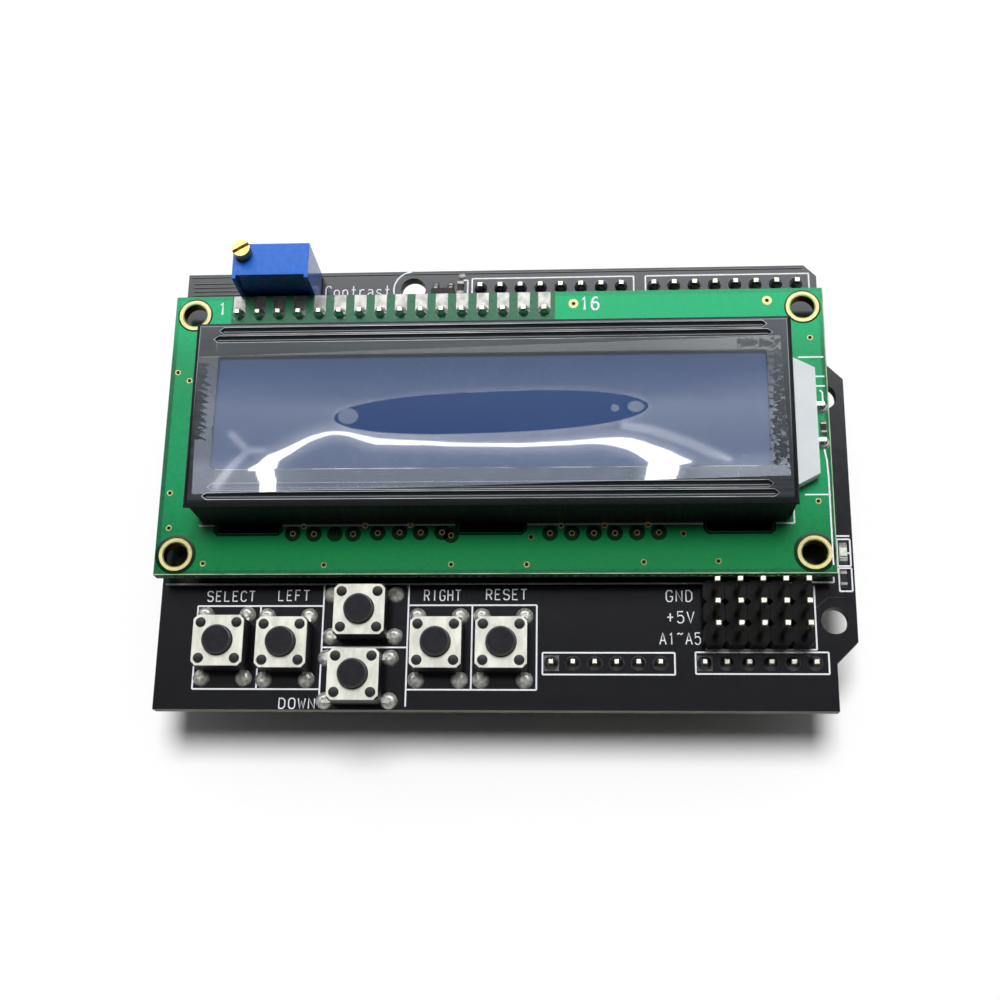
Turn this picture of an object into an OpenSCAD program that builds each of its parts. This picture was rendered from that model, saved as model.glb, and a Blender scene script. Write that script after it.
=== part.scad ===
// Plug-in display board with a two-row character display, six push switches
// and a contrast trimmer. The pin rows below fit the sockets of a controller board.
// Lengths in millimetres. The origin is under the middle of the board, at the pin tips.

/* [Shield board] */
// overall width, with the nose on the right edge
board_w = 82.55; // [82:0.05:92]
// overall depth
board_d = 56.34; // [56.2:0.02:62]
// thickness
board_t = 1.6; // [1:0.1:2.4]
// how far the nose stands out on the right edge
nose_w = 2.54; // [1.5:0.02:3]
// corner cut at the back right
corner_cut = 1.524; // [0.5:0.1:2.5]
// diameter of the three fixing holes
board_hole_d = 3.2; // [2.6:0.1:3.4]

/* [Pin rows] */
// pitch of all pin rows
pin_gap = 2.54; // [2.5:0.01:2.58]
// side of a square pin
pin_w = 0.64; // [0.5:0.02:0.7]
// height of the plastic strips
strip_h = 2.54; // [2.3:0.02:3.2]
// depth of the plastic strips across the row
strip_d = 2.5; // [2.2:0.02:2.5]
// reach of the host pins below their strips
pin_down = 6; // [4:0.1:9]
// reach of the host pins above the board
pin_up = 1.3; // [1.1:0.1:2]
// diameter of the plated pin holes
pin_hole_d = 1.02; // [1:0.02:1.2]

/* [Three-row header] */
// number of columns
bank_cols = 5; // [3:1:5]
// reach of the pins above their plastic
bank_pin_up = 5.9; // [4:0.1:8]

/* [Display board] */
// width
lcd_w = 80; // [79:0.1:82]
// depth
lcd_d = 36; // [35.6:0.1:36.2]
// thickness
lcd_t = 1.6; // [1:0.1:2]
// distance of the corner holes from the edges
lcd_hole_edge = 2.5; // [2.3:0.1:2.8]
// diameter of the corner holes
lcd_hole_d = 3; // [2.5:0.1:3.2]
// diameter of the plated rings round the corner holes
lcd_ring_d = 4; // [3.6:0.1:4.4]
// number of pins in the display header
lcd_pins = 16; // [14:1:16]

/* [Bezel] */
// width
bezel_w = 70.2; // [69.6:0.1:70.8]
// depth
bezel_d = 22.9; // [22.5:0.1:23.3]
// height above the display board
bezel_h = 7.3; // [6.6:0.1:9]
// sheet thickness
bezel_t = 0.4; // [0.3:0.02:0.5]
// outer radius of the folds
bezel_bend = 0.65; // [0.55:0.05:0.8]
// window width
window_w = 64.2; // [60:0.1:65]
// window depth
window_d = 14.2; // [12:0.1:14.8]
// width of the pressed beads
bead_w = 0.8; // [0.6:0.05:0.9]
// depth of the pressed beads
bead_deep = 0.25; // [0.15:0.01:0.28]
// width of the folded tabs
tab_w = 7; // [4:0.1:8]

/* [Glass and backlight] */
// thickness of one glass plate
plate_t = 1.1; // [0.7:0.05:1.2]
// depth of the rubber contact strips
rubber_d = 2; // [1.4:0.1:2.1]
// reach of the backlight's ear past the bezel
ear_out = 3.2; // [2.5:0.05:3.3]
// height of the ear
ear_h = 2; // [1.6:0.1:3.2]
// thickness of the protective film
film_t = 0.1; // [0.06:0.01:0.2]
// turn of the film on the screen, in degrees
film_turn = 1.5; // [0:0.1:2.5]

/* [Push switches] */
// side of the base
sw_w = 6; // [5.6:0.1:6.2]
// height of the cover's top above the board
sw_h = 3.5; // [3.3:0.1:5]
// thickness of the cover plate
sw_cover_t = 0.3; // [0.2:0.02:0.4]
// button diameter
button_d = 3.5; // [3:0.05:3.7]
// reach of the button above the cover
button_up = 0.8; // [0.6:0.1:4]
// spacing of the staked posts
stake_gap = 4.25; // [4.15:0.05:4.4]
// height of the snap dome
dome_h = 0.55; // [0.45:0.01:0.7]

/* [Trimmer] */
// width
trim_w = 9.4; // [9:0.01:10]
// depth
trim_d = 4.66; // [4.4:0.01:4.7]
// height
trim_h = 9.1; // [8:0.01:12]
// diameter of the screw's head
trim_screw_d = 2.2; // [1.9:0.05:2.4]
// height of the screw's head
trim_screw_up = 1.4; // [1.2:0.1:1.8]

/* [Hidden] */
$fn = 48;
eps = 0.01;

// heights of the faces that everything stands on
top_z = pin_down + strip_h + board_t;
lcd_z = top_z + strip_h + lcd_t;

// host grid: places count from the nose edge and the back edge of the board
nose_x = 68.58;
back_y = 53.34;
host_x = board_w / 2 - nose_x;
host_y = board_d / 2 - back_y;
nose_end_y = 40.386;
row_gap = 48.26;
row_front = 2.54;
row_back = row_front + row_gap;
digital_high_x = 23.876;
digital_low_x = 45.72;
power_x = 33.02;
analog_x = 50.8;
edge_hole_x = nose_x - nose_w;
edge_hole_y = 7.62;
edge_hole_gap = 27.94;
rear_hole_x = 15.24;
board_holes = [
  [edge_hole_x, edge_hole_y], [edge_hole_x, edge_hole_y + edge_hole_gap], [rear_hole_x, row_back]
];
bank_x = 51.92;
bank_y = 5.48;
bank_rows = 3;
strip_cut = 0.45;
pin_point = 0.19;
pin_cut = 0.08;
tail = 1.5;

// display board, flush with the left edge, hung from its header row
lcd_edge = 2.5;
lcd_row_back = 5.08;
lcd_row = row_back - lcd_row_back;
lcd_cx = -board_w / 2 + lcd_w / 2;
lcd_cy = host_y + lcd_row + lcd_edge - lcd_d / 2;
lcd_row_in = 8;
lcd_row_x = -board_w / 2 + lcd_row_in;
lcd_hole_x = lcd_w - 2 * lcd_hole_edge;
lcd_hole_y = lcd_d - 2 * lcd_hole_edge;
ring_t = 0.06;
ring_room = 0.2;

// bezel, a little nearer the front than the display board's middle
bezel_shift = 0.27;
bezel_cy = lcd_cy - bezel_shift;
inner_w = bezel_w - 2 * bezel_t;
inner_d = bezel_d - 2 * bezel_t;
relief = bezel_bend + 0.1;
bead_r = (bead_w * bead_w / 4 + bead_deep * bead_deep) / (2 * bead_deep);
bead_edge = 1.15;
bead_step = 1.08;
bead_long = window_w + 1.2;
tab_gap = 29;
tab_fold = 1.7;
slot_front = 1.2;
slot_room = 0.35;
slot_inner = 0.15;
slot_r = 0.45;
ear_y = 0.35;
ear_half = 8.2;
ear_end = 6.6;
ear_room = 0.15;

// film, cut to the bezel's top and laid over the window's edges
film_in_x = 1;
film_in_y = 2.9;
film_w = bezel_w - 2 * film_in_x;
film_d = bezel_d - 2 * film_in_y;
film_x = -0.13;
film_y = -0.65;

// stack under the bezel, from the beads down
seat = 0.02;
glass_top = bezel_h - bezel_t - bead_deep - seat;
plate_under = glass_top - plate_t;
cell_under = plate_under - plate_t;
glass_w = inner_w - 0.8;
glass_d = inner_d - 0.5;
rubber_y = glass_d / 2 - rubber_d / 2;
cell_d = glass_d - 2 * rubber_d - 0.6;
lead_gap = 4.5;
lead_w = 0.5;
lead_t = 0.25;
lead_z = 1.3;
lead_x = lcd_cx + bezel_w / 2 + ear_out + 0.9;

epoxy_r = 7;
epoxy_h = 1.5;
epoxy_x = 17;

// push switches: row of four, with a pair one above the other in the middle
sw_step = 7.62;
sw_y = 4.35;
sw_x = -5.71;
pair_x = 10.65;
pair_y = 3.81;
right_x = 19.72;
// place and turn of each switch, and how far off it was soldered: select, left, up, down, right, reset
sw_places = [
  [sw_x, sw_y, 0], [sw_x + sw_step, sw_y, 0], [pair_x, sw_y + pair_y, 90],
  [pair_x, sw_y - pair_y, 90], [right_x, sw_y, 0], [right_x + sw_step, sw_y, 0]
];
sw_off = [[-0.15, 0.2, 0], [-0.28, 0, 0], [0, 0.1, 0], [-0.4, 0.05, 0], [0, 0, 0], [0, 0, 0]];
switches = sw_places + sw_off;
sw_corner = 0.5;
sw_edge = 0.25;
sw_base_h = sw_h - sw_cover_t;
pit_d = button_d + 1;
pit_h = 2;
collar_d = button_d + 0.7;
collar_h = 0.5;
stake_d = 0.9;
stake_head_d = 1.25;
stake_head_h = 0.3;
dome_d = button_d + 0.5;
dome_t = 0.08;
leg_w = 0.7;
leg_t = 0.25;
leg_gap = 5.08;
leg_reach = 0.81;
leg_out = sw_w / 2 + leg_reach;
leg_z = 0.5;
leg_tail = 1.7;
leg_hole_d = 1.1;
blob_r = 0.92;
blob_h = 0.85;
cone_r = 0.85;
cone_h = 0.85;

// trimmer
trim_x = -1.22;
trim_y = 50.61;
trim_cx = host_x + trim_x;
trim_cy = host_y + trim_y;
trim_foot = 0.35;
trim_foot_w = 1;
trim_foot_in = 0.7;
trim_edge = 1.27;
trim_rib_w = 0.48;
trim_rib_d = 0.45;
trim_shaft_d = 1.6;
trim_bore_d = trim_shaft_d + 0.2;
trim_bore_h = 4;
trim_head_gap = 0.08;
trim_slot_w = 0.42;
trim_slot_h = 0.7;
trim_slot_turn = 31;
trim_pin_d = 0.5;

// chip parts: length, width, height, and the places of each
chip_l = 1.6;
chip_w = 0.8;
chip_h = 0.45;
chip_cap = 0.3;
chip_proud = 0.03;
led_l = 2;
led_w = 0.9;
led_h = 0.3;
led_lens_l = 1.1;
led_lens_h = 0.65;
led_draft = 0.1;
led_x = 67.36;
led_y = 15.72;
led_chip_x = 67.26;
led_chip_y = 12.62;
bias_chip_x = 21.3;
bias_chip_y = 50.85;
sot_x = 19.1;
sot_y = 50;
sot_l = 2.9;
sot_w = 1.3;
sot_h = 1;
sot_slope = 0.12;
sot_lift = 0.08;
lead_wide = 0.42;
lead_root = 0.2;
lead_rise = 0.25;
lead_out = 0.55;
lead_sheet = 0.14;
sot_leads = [[-0.95, 1], [0.95, 1], [0, -1]];
ladder_y = 16;
ladder_n = 5;

// place on the host grid, with z from the board's upper face
module host(x, y, z = 0) translate([host_x + x, host_y + y, top_z + z]) children();

// place on the display board, with z from its upper face
module on_lcd(x, y, z = 0) translate([lcd_cx + x, bezel_cy + y, lcd_z + z]) children();

// every pin place of a row
module row(n, x, y) for (i = [0 : n - 1]) host(x + i * pin_gap, y) children();

// the pair in the middle stands with its legs left and right, the others front and back
module at_switch(i) host(switches[i][0], switches[i][1]) rotate([0, 0, switches[i][2]]) children();
module at_switches() for (i = [0 : len(switches) - 1]) at_switch(i) children();
module at_legs()
  for (sx = [-1, 1], sy = [-1, 1])
    translate([sx * leg_gap / 2, sy * leg_out, 0]) children();

module at_bank() for (r = [0 : bank_rows - 1]) row(bank_cols, bank_x, bank_y + r * pin_gap) children();
module at_lcd_row()
  for (i = [0 : lcd_pins - 1])
    translate([lcd_row_x + i * pin_gap, host_y + lcd_row, 0]) children();
module at_lcd_holes()
  for (sx = [-1, 1], sy = [-1, 1])
    translate([lcd_cx + sx * lcd_hole_x / 2, lcd_cy + sy * lcd_hole_y / 2, 0]) children();
module at_trim_pins()
  for (i = [-1, 1, 0]) translate([trim_cx + i * pin_gap, trim_cy + (i == 0 ? 0.8 : -0.4), 0]) children();
module at_leads() for (s = [-1, 1]) translate([lead_x, bezel_cy + ear_y + s * lead_gap / 2, 0]) children();

// square pin, pointed below and cut off nearly square above
module pin(z0, z1) {
  side = pin_w / 2;
  low = side - pin_point;
  high = side - pin_cut;
  shape = [
    [-low, z0], [low, z0], [side, z0 + 2 * pin_point], [side, z1 - pin_cut],
    [high, z1], [-high, z1], [-side, z1 - pin_cut], [-side, z0 + 2 * pin_point]
  ];
  intersection() {
    rotate([90, 0, 0]) linear_extrude(pin_w, center = true) polygon(shape);
    rotate([90, 0, 90]) linear_extrude(pin_w, center = true) polygon(shape);
  }
}

// plastic strip, notched between its pins, with square holes for them
module strip(n) {
  ends = [for (i = [0 : n]) (i - 0.5) * pin_gap];
  far = [for (i = [0 : n - 1]) each [
    [ends[i], strip_d / 2 - strip_cut], [ends[i] + strip_cut, strip_d / 2],
    [ends[i + 1] - strip_cut, strip_d / 2]
  ]];
  near = [for (p = far) [ends[n] + ends[0] - p[0], -p[1]]];
  linear_extrude(strip_h) difference() {
    polygon(concat(
      far, [[ends[n], strip_d / 2 - strip_cut]],
      near, [[ends[0], strip_cut - strip_d / 2]]
    ));
    for (i = [0 : n - 1]) translate([i * pin_gap, 0]) square(pin_w, center = true);
  }
}

// solder that has climbed a square pin
module cone() difference() {
  rotate_extrude() polygon([
    [0, 0], [cone_r, 0], [cone_r * 0.72, cone_h * 0.3], [cone_r * 0.56, cone_h * 0.7],
    [cone_r * 0.52, cone_h], [0, cone_h]
  ]);
  translate([0, 0, cone_h / 2]) cube([pin_w, pin_w, 2 * cone_h], center = true);
}

// round solder drop on a base of radius blob_r
module blob() {
  r = (blob_r * blob_r + blob_h * blob_h) / (2 * blob_h);
  intersection() {
    translate([0, 0, blob_h - r]) sphere(r);
    translate([0, 0, r]) cube(2 * r, center = true);
  }
}

module round_rect(w, d, r) {
  square([w - 2 * r, d], center = true);
  square([w, d - 2 * r], center = true);
  for (sx = [-1, 1], sy = [-1, 1]) translate([sx * (w / 2 - r), sy * (d / 2 - r)]) circle(r);
}

// square with its corners cut
module cut_square(w, c) polygon([
  [c - w / 2, -w / 2], [w / 2 - c, -w / 2], [w / 2, c - w / 2], [w / 2, w / 2 - c],
  [w / 2 - c, w / 2], [c - w / 2, w / 2], [-w / 2, w / 2 - c], [-w / 2, c - w / 2]
]);

// chip part with end caps a little proud of its body, lying along y
module chip_part() {
  translate([0, 0, chip_h / 2])
    cube([chip_w - 2 * chip_proud, chip_l - 2 * chip_proud, chip_h - 2 * chip_proud], center = true);
  for (s = [-1, 1]) translate([0, s * (chip_l - chip_cap) / 2, chip_h / 2])
    cube([chip_w, chip_cap, chip_h], center = true);
}

module shield_board() color("#1c1d20") {
  edge = board_w / 2 - nose_w;
  cut = nose_w;
  translate([0, 0, top_z - board_t]) linear_extrude(board_t) difference() {
    polygon([
      [-board_w / 2, -board_d / 2], [edge, -board_d / 2], [edge, host_y + row_front],
      [board_w / 2, host_y + row_front + cut], [board_w / 2, host_y + nose_end_y - cut],
      [edge, host_y + nose_end_y], [edge, board_d / 2 - corner_cut], [edge - corner_cut, board_d / 2],
      [-board_w / 2, board_d / 2]
    ]);
    for (p = board_holes) translate([host_x + p[0], host_y + p[1]]) circle(d = board_hole_d);
    projected_holes();
  }
}

// plated holes of the board, as flat circles
module projected_holes() {
  for (i = [0 : 7]) {
    translate([host_x + digital_high_x + i * pin_gap, host_y + row_back]) circle(d = pin_hole_d);
    translate([host_x + digital_low_x + i * pin_gap, host_y + row_back]) circle(d = pin_hole_d);
  }
  for (i = [0 : 5]) {
    translate([host_x + power_x + i * pin_gap, host_y + row_front]) circle(d = pin_hole_d);
    translate([host_x + analog_x + i * pin_gap, host_y + row_front]) circle(d = pin_hole_d);
  }
  for (i = [0 : bank_cols - 1], r = [0 : bank_rows - 1])
    translate([host_x + bank_x + i * pin_gap, host_y + bank_y + r * pin_gap]) circle(d = pin_hole_d);
  at_lcd_row() circle(d = pin_hole_d);
  at_trim_pins() circle(d = trim_pin_d + 0.3);
  for (s = switches) translate([host_x + s[0], host_y + s[1]]) rotate(s[2]) at_legs() circle(d = leg_hole_d);
}

module host_strip(n, x, y) color("#222326") host(x, y, -board_t - strip_h) strip(n);
module digital_high_strip() host_strip(8, digital_high_x, row_back);
module digital_low_strip() host_strip(8, digital_low_x, row_back);
module power_strip() host_strip(6, power_x, row_front);
module analog_strip() host_strip(6, analog_x, row_front);

module host_pins(n, x, y) color("#c9b26a") row(n, x, y) pin(-top_z, pin_up);
module digital_high_pins() host_pins(8, digital_high_x, row_back);
module digital_low_pins() host_pins(8, digital_low_x, row_back);
module power_pins() host_pins(6, power_x, row_front);
module analog_pins() host_pins(6, analog_x, row_front);

module header_solder() color("#c8ccd0") {
  row(8, digital_high_x, row_back) cone();
  row(8, digital_low_x, row_back) cone();
  row(6, power_x, row_front) cone();
  row(6, analog_x, row_front) cone();
}

module lcd_board() color("#1f8a4c") translate([0, 0, lcd_z - lcd_t]) linear_extrude(lcd_t) difference() {
  translate([lcd_cx, lcd_cy]) square([lcd_w, lcd_d], center = true);
  at_lcd_holes() circle(d = lcd_hole_d);
  at_lcd_row() circle(d = pin_hole_d);
  at_leads() circle(d = 0.8);
  for (i = [-1 : 1], s = [-1, 1])
    translate([lcd_cx + i * tab_gap, bezel_cy + s * (inner_d / 2 + (bezel_t + slot_front - slot_inner) / 2)])
      round_rect(tab_w + 2 * slot_room, bezel_t + slot_front + slot_inner, slot_r);
}

module lcd_hole_rings() color("#d9b84a") at_lcd_holes()
  for (z = [lcd_z, lcd_z - lcd_t - ring_t]) translate([0, 0, z]) linear_extrude(ring_t) difference() {
    circle(d = lcd_ring_d);
    circle(d = lcd_hole_d + ring_room);
  }

// folded sheet: arch section both ways, so each wall meets the top in a rounded fold
module arch(w, h, r) {
  translate([-w / 2, 0]) square([w, h - r]);
  translate([r - w / 2, 0]) square([w - 2 * r, h]);
  for (s = [-1, 1]) translate([s * (w / 2 - r), h - r]) circle(r);
}
module hood(w, d, h, r) intersection() {
  rotate([90, 0, 0]) linear_extrude(d, center = true) arch(w, h, r);
  rotate([90, 0, 90]) linear_extrude(w, center = true) arch(d, h, r);
}
module beads(r) for (s = [-1, 1], k = [0, 1]) {
  long = bead_long - (s > 0 ? 1 - k : k) * 1.2 - bead_w;
  translate([0, s * (bezel_d / 2 - bead_edge - k * bead_step), bezel_h + bead_r - bead_deep]) {
    rotate([0, 90, 0]) cylinder(r = r, h = long, center = true);
    for (e = [-1, 1]) translate([e * long / 2, 0, 0]) sphere(r);
  }
}
module lcd_bezel() color("#24262a") on_lcd(0, 0) {
  difference() {
    union() {
      difference() {
        hood(bezel_w, bezel_d, bezel_h, bezel_bend);
        translate([0, 0, -eps]) hood(inner_w, inner_d, bezel_h - bezel_t + eps, bezel_bend - bezel_t);
      }
      intersection() {
        beads(bead_r + bezel_t);
        translate([0, 0, bezel_h - bezel_t - 1 + eps * 5]) cube([bezel_w - 2, bezel_d - 1, 2], center = true);
      }
    }
    beads(bead_r);
    translate([0, 0, bezel_h - 2 * bezel_t]) linear_extrude(3 * bezel_t) round_rect(window_w, window_d, 0.5);
    for (sx = [-1, 1], sy = [-1, 1])
      translate([sx * bezel_w / 2, sy * bezel_d / 2, bezel_h / 2 - bezel_bend - 0.25])
        cube([2 * relief, 2 * relief, bezel_h], center = true);
    translate([bezel_w / 2, ear_y, 0])
      cube([3, 2 * (ear_half + ear_room), 2 * (ear_h + ear_room)], center = true);
  }
  for (i = [-1 : 1], s = [-1, 1]) translate([i * tab_gap, s * (inner_d / 2 + bezel_t / 2), 0]) {
    translate([0, 0, -(lcd_t + bezel_t) / 2]) cube([tab_w, bezel_t, lcd_t + bezel_t], center = true);
    translate([0, s * (bezel_t - tab_fold) / 2, -lcd_t - bezel_t / 2])
      cube([tab_w, tab_fold, bezel_t], center = true);
  }
}

module lcd_glass() color("#3a4fa8") on_lcd(0, 0) {
  translate([0, 0, glass_top - plate_t / 2]) cube([glass_w, glass_d, plate_t], center = true);
  translate([0, 0, cell_under + plate_t / 2]) cube([glass_w, cell_d, plate_t], center = true);
}

module screen_film() color("#dfe6f5", 0.3) on_lcd(film_x, film_y, bezel_h) rotate([0, 0, film_turn])
  translate([0, 0, film_t / 2]) cube([film_w, film_d, film_t], center = true);

module rubber_strip(s) color("#b9a6a0") on_lcd(0, s * rubber_y)
  translate([0, 0, plate_under / 2]) cube([glass_w - 3, rubber_d, plate_under], center = true);
module upper_rubber_strip() rubber_strip(1);
module lower_rubber_strip() rubber_strip(-1);

module backlight_block() color("#f2f3ee") on_lcd(0, 0) {
  translate([0, 0, cell_under / 2]) cube([glass_w, cell_d, cell_under], center = true);
  translate([0, ear_y, 0]) linear_extrude(ear_h) polygon([
    [glass_w / 2 - 2, -ear_half], [bezel_w / 2 + 0.2, -ear_half], [bezel_w / 2 + ear_out, -ear_end],
    [bezel_w / 2 + ear_out, ear_end], [bezel_w / 2 + 0.2, ear_half], [glass_w / 2 - 2, ear_half]
  ]);
}

module backlight_leads() color("#c8ccd0") at_leads() translate([0, 0, lcd_z]) {
  translate([-(0.9 + lead_t / 2) / 2 + lead_t / 2, 0, lead_z])
    cube([0.9 + lead_t / 2, lead_w, lead_t], center = true);
  translate([0, 0, (lead_z - lcd_t - 0.8) / 2]) cube([lead_t, lead_w, lead_z + lcd_t + 0.8], center = true);
}

// drops of black epoxy over the bare chips
module controller_blobs() color("#151515") for (s = [-1, 1], $fn = 180)
  on_lcd(s * epoxy_x, 0, -lcd_t) {
    r = (epoxy_r * epoxy_r + epoxy_h * epoxy_h) / (2 * epoxy_h);
    intersection() {
      translate([0, 0, r - epoxy_h]) sphere(r);
      translate([0, 0, -epoxy_h / 2]) cube([3 * epoxy_r, 3 * epoxy_r, epoxy_h], center = true);
    }
  }

module lcd_header_strip() color("#222326") translate([lcd_row_x, host_y + lcd_row, top_z]) strip(lcd_pins);
module lcd_header_pins() color("#c9b26a") at_lcd_row()
  translate([0, 0, top_z]) pin(-board_t - tail, strip_h + lcd_t + 1.15);
module lcd_solder() color("#c8ccd0") {
  at_lcd_row() translate([0, 0, lcd_z]) cone();
  at_leads() translate([0, 0, lcd_z]) difference() {
    cylinder(r1 = 0.6, r2 = 0.4, h = 0.5);
    cube([lead_t, lead_w, 3], center = true);
  }
}

// moulded case, its front set back between two ribs at the corners
module trim_outline() {
  x = trim_w / 2;
  y = trim_d / 2;
  polygon([
    [-x, -y], [trim_rib_w - x, -y], [trim_rib_w - x, trim_rib_d - y], [x - trim_rib_w, trim_rib_d - y],
    [x - trim_rib_w, -y], [x, -y], [x, y], [-x, y]
  ]);
}
module at_screw()
  translate([trim_edge - trim_w / 2, trim_d / 2 - trim_edge, trim_h - trim_bore_h]) children();
module trimmer_body() color("#2f63c4") translate([trim_cx, trim_cy, top_z]) difference() {
  union() {
    translate([0, 0, trim_foot]) linear_extrude(trim_h - trim_foot) trim_outline();
    for (s = [-1, 1]) translate([s * (trim_w / 2 - trim_foot_in), 0, (trim_foot + eps) / 2])
      cube([trim_foot_w, trim_d - 2 * trim_foot_in, trim_foot + eps], center = true);
  }
  at_screw() cylinder(d = trim_bore_d, h = trim_bore_h + 1);
}
module trimmer_screw() color("#cfae55") translate([trim_cx, trim_cy, top_z]) at_screw() {
  head_z = trim_bore_h + trim_head_gap;
  cylinder(d = trim_shaft_d, h = head_z + eps);
  translate([0, 0, head_z]) difference() {
    cylinder(d = trim_screw_d, h = trim_screw_up);
    translate([0, 0, trim_screw_up]) rotate([0, 0, trim_slot_turn])
      cube([2 * trim_screw_d, trim_slot_w, 2 * trim_slot_h], center = true);
  }
}
module trimmer_pins() color("#c8ccd0") at_trim_pins() translate([0, 0, top_z - board_t - tail])
  cylinder(d = trim_pin_d, h = board_t + tail + trim_foot);

module bank_strips() color("#222326") for (i = [0 : bank_cols - 1])
  host(bank_x + i * pin_gap, bank_y) rotate([0, 0, 90]) strip(bank_rows);
module bank_pins() color("#c9b26a") at_bank() pin(-board_t - tail, strip_h + bank_pin_up);

// drops on the switch legs, and joints on the lower face
module board_solder() color("#c8ccd0") {
  at_switches() difference() {
    at_legs() blob();
    linear_extrude(sw_base_h) cut_square(sw_w, sw_edge);
    legs();
  }
  at_switches() at_legs() translate([0, 0, -board_t]) mirror([0, 0, 1]) difference() {
    cylinder(r1 = cone_r, r2 = 0.5, h = cone_h);
    cube([leg_w, leg_t, 4 * cone_h], center = true);
  }
  at_bank() translate([0, 0, -board_t]) mirror([0, 0, 1]) cone();
  at_lcd_row() translate([0, 0, top_z - board_t]) mirror([0, 0, 1]) cone();
  at_trim_pins() translate([0, 0, top_z - board_t]) mirror([0, 0, 1]) difference() {
    cylinder(r1 = cone_r, r2 = 0.4, h = cone_h);
    translate([0, 0, -cone_h]) cylinder(d = trim_pin_d, h = 3 * cone_h);
  }
}
// lamp: a flat carrier with a clear lens cast on it
module power_led() color("#f3e2b0") host(led_x, led_y) {
  translate([0, 0, led_h / 2]) cube([led_w, led_l, led_h], center = true);
  rotate([90, 0, 90]) linear_extrude(led_w - led_draft, center = true) polygon([
    [-led_lens_l / 2, led_h - eps], [led_lens_l / 2, led_h - eps],
    [led_lens_l / 2 - led_draft, led_lens_h], [led_draft - led_lens_l / 2, led_lens_h]
  ]);
}

module chip_resistors() color("#2a2a2c") {
  host(led_chip_x, led_chip_y) chip_part();
  host(bias_chip_x, bias_chip_y) chip_part();
  for (i = [0 : ladder_n - 1]) host(sw_x + i * sw_step, ladder_y) chip_part();
  translate([lead_x, bezel_cy, lcd_z]) scale(0.8) chip_part();
}

// transistor: a moulded case with sloping sides on three bent leads
module bent_lead() rotate([90, 0, 90]) linear_extrude(lead_wide, center = true) {
  mid = (sot_h + sot_lift) / 2;
  root = sot_w / 2 - lead_root;
  rise = sot_w / 2 + lead_rise;
  far = sot_w / 2 + lead_out;
  polygon([
    [root, mid], [rise, mid], [rise, 0], [far, 0], [far, lead_sheet],
    [rise + lead_sheet, lead_sheet], [rise + lead_sheet, mid + lead_sheet], [root, mid + lead_sheet]
  ]);
}
module backlight_transistor() color("#1d1d1f") host(sot_x, sot_y) {
  rotate([90, 0, 90]) linear_extrude(sot_l, center = true) polygon([
    [sot_slope - sot_w / 2, sot_lift], [sot_w / 2 - sot_slope, sot_lift], [sot_w / 2, (sot_h + sot_lift) / 2],
    [sot_w / 2 - sot_slope, sot_h], [sot_slope - sot_w / 2, sot_h], [-sot_w / 2, (sot_h + sot_lift) / 2]
  ]);
  for (p = sot_leads) translate([p[0], 0, 0]) rotate([0, 0, p[1] > 0 ? 0 : 180]) bent_lead();
}

// four legs, out of the base and down through the board
module legs() for (s = [0, 180]) rotate([0, 0, s])
  for (sx = [-1, 1]) translate([sx * leg_gap / 2, 0, 0]) {
    translate([0, (sw_w / 2 + leg_out + leg_t / 2) / 2, leg_z])
      cube([leg_w, leg_out + leg_t / 2 - sw_w / 2, leg_t], center = true);
    translate([0, leg_out, (leg_z - board_t - leg_tail) / 2])
      cube([leg_w, leg_t, leg_z + board_t + leg_tail], center = true);
  }
module switch_legs() color("#c8ccd0") at_switches() legs();

module sw_base() color("#26272a") difference() {
  union() {
    linear_extrude(sw_base_h) cut_square(sw_w, sw_edge);
    for (sx = [-1, 1], sy = [-1, 1]) translate([sx * stake_gap / 2, sy * stake_gap / 2, sw_base_h - eps]) {
      cylinder(d = stake_d, h = sw_cover_t + 0.1);
      translate([0, 0, sw_cover_t + eps])
        cylinder(d1 = stake_head_d, d2 = stake_head_d * 0.8, h = stake_head_h);
    }
  }
  translate([0, 0, sw_base_h - pit_h]) cylinder(d = pit_d, h = pit_h + 0.001);
}
module sw_cover() color("#c8cbd0") translate([0, 0, sw_base_h]) linear_extrude(sw_cover_t) difference() {
  cut_square(sw_w, sw_corner);
  circle(d = button_d + 0.15);
  for (sx = [-1, 1], sy = [-1, 1]) translate([sx * stake_gap / 2, sy * stake_gap / 2])
    circle(d = stake_d + 0.08);
}
module sw_button() color("#1b1c1f") {
  foot = sw_base_h - pit_h + dome_h;
  edge = 0.12;
  translate([0, 0, sw_base_h - eps]) cylinder(d = button_d, h = sw_cover_t + button_up - edge + eps);
  translate([0, 0, sw_h + button_up - edge]) cylinder(d1 = button_d, d2 = button_d - 2 * edge, h = edge);
  translate([0, 0, sw_base_h - collar_h]) cylinder(d = collar_d, h = collar_h);
  translate([0, 0, foot]) cylinder(d = 1.6, h = sw_base_h - collar_h - foot + eps);
}
module sw_dome() color("#b8bcc2") {
  r = (dome_d * dome_d / 4 + dome_h * dome_h) / (2 * dome_h);
  translate([0, 0, sw_base_h - pit_h]) intersection() {
    translate([0, 0, dome_h - r]) difference() {
      sphere(r);
      sphere(r - dome_t);
    }
    translate([0, 0, dome_h]) cube([2 * dome_d, 2 * dome_d, 2 * dome_h], center = true);
  }
}

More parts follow.
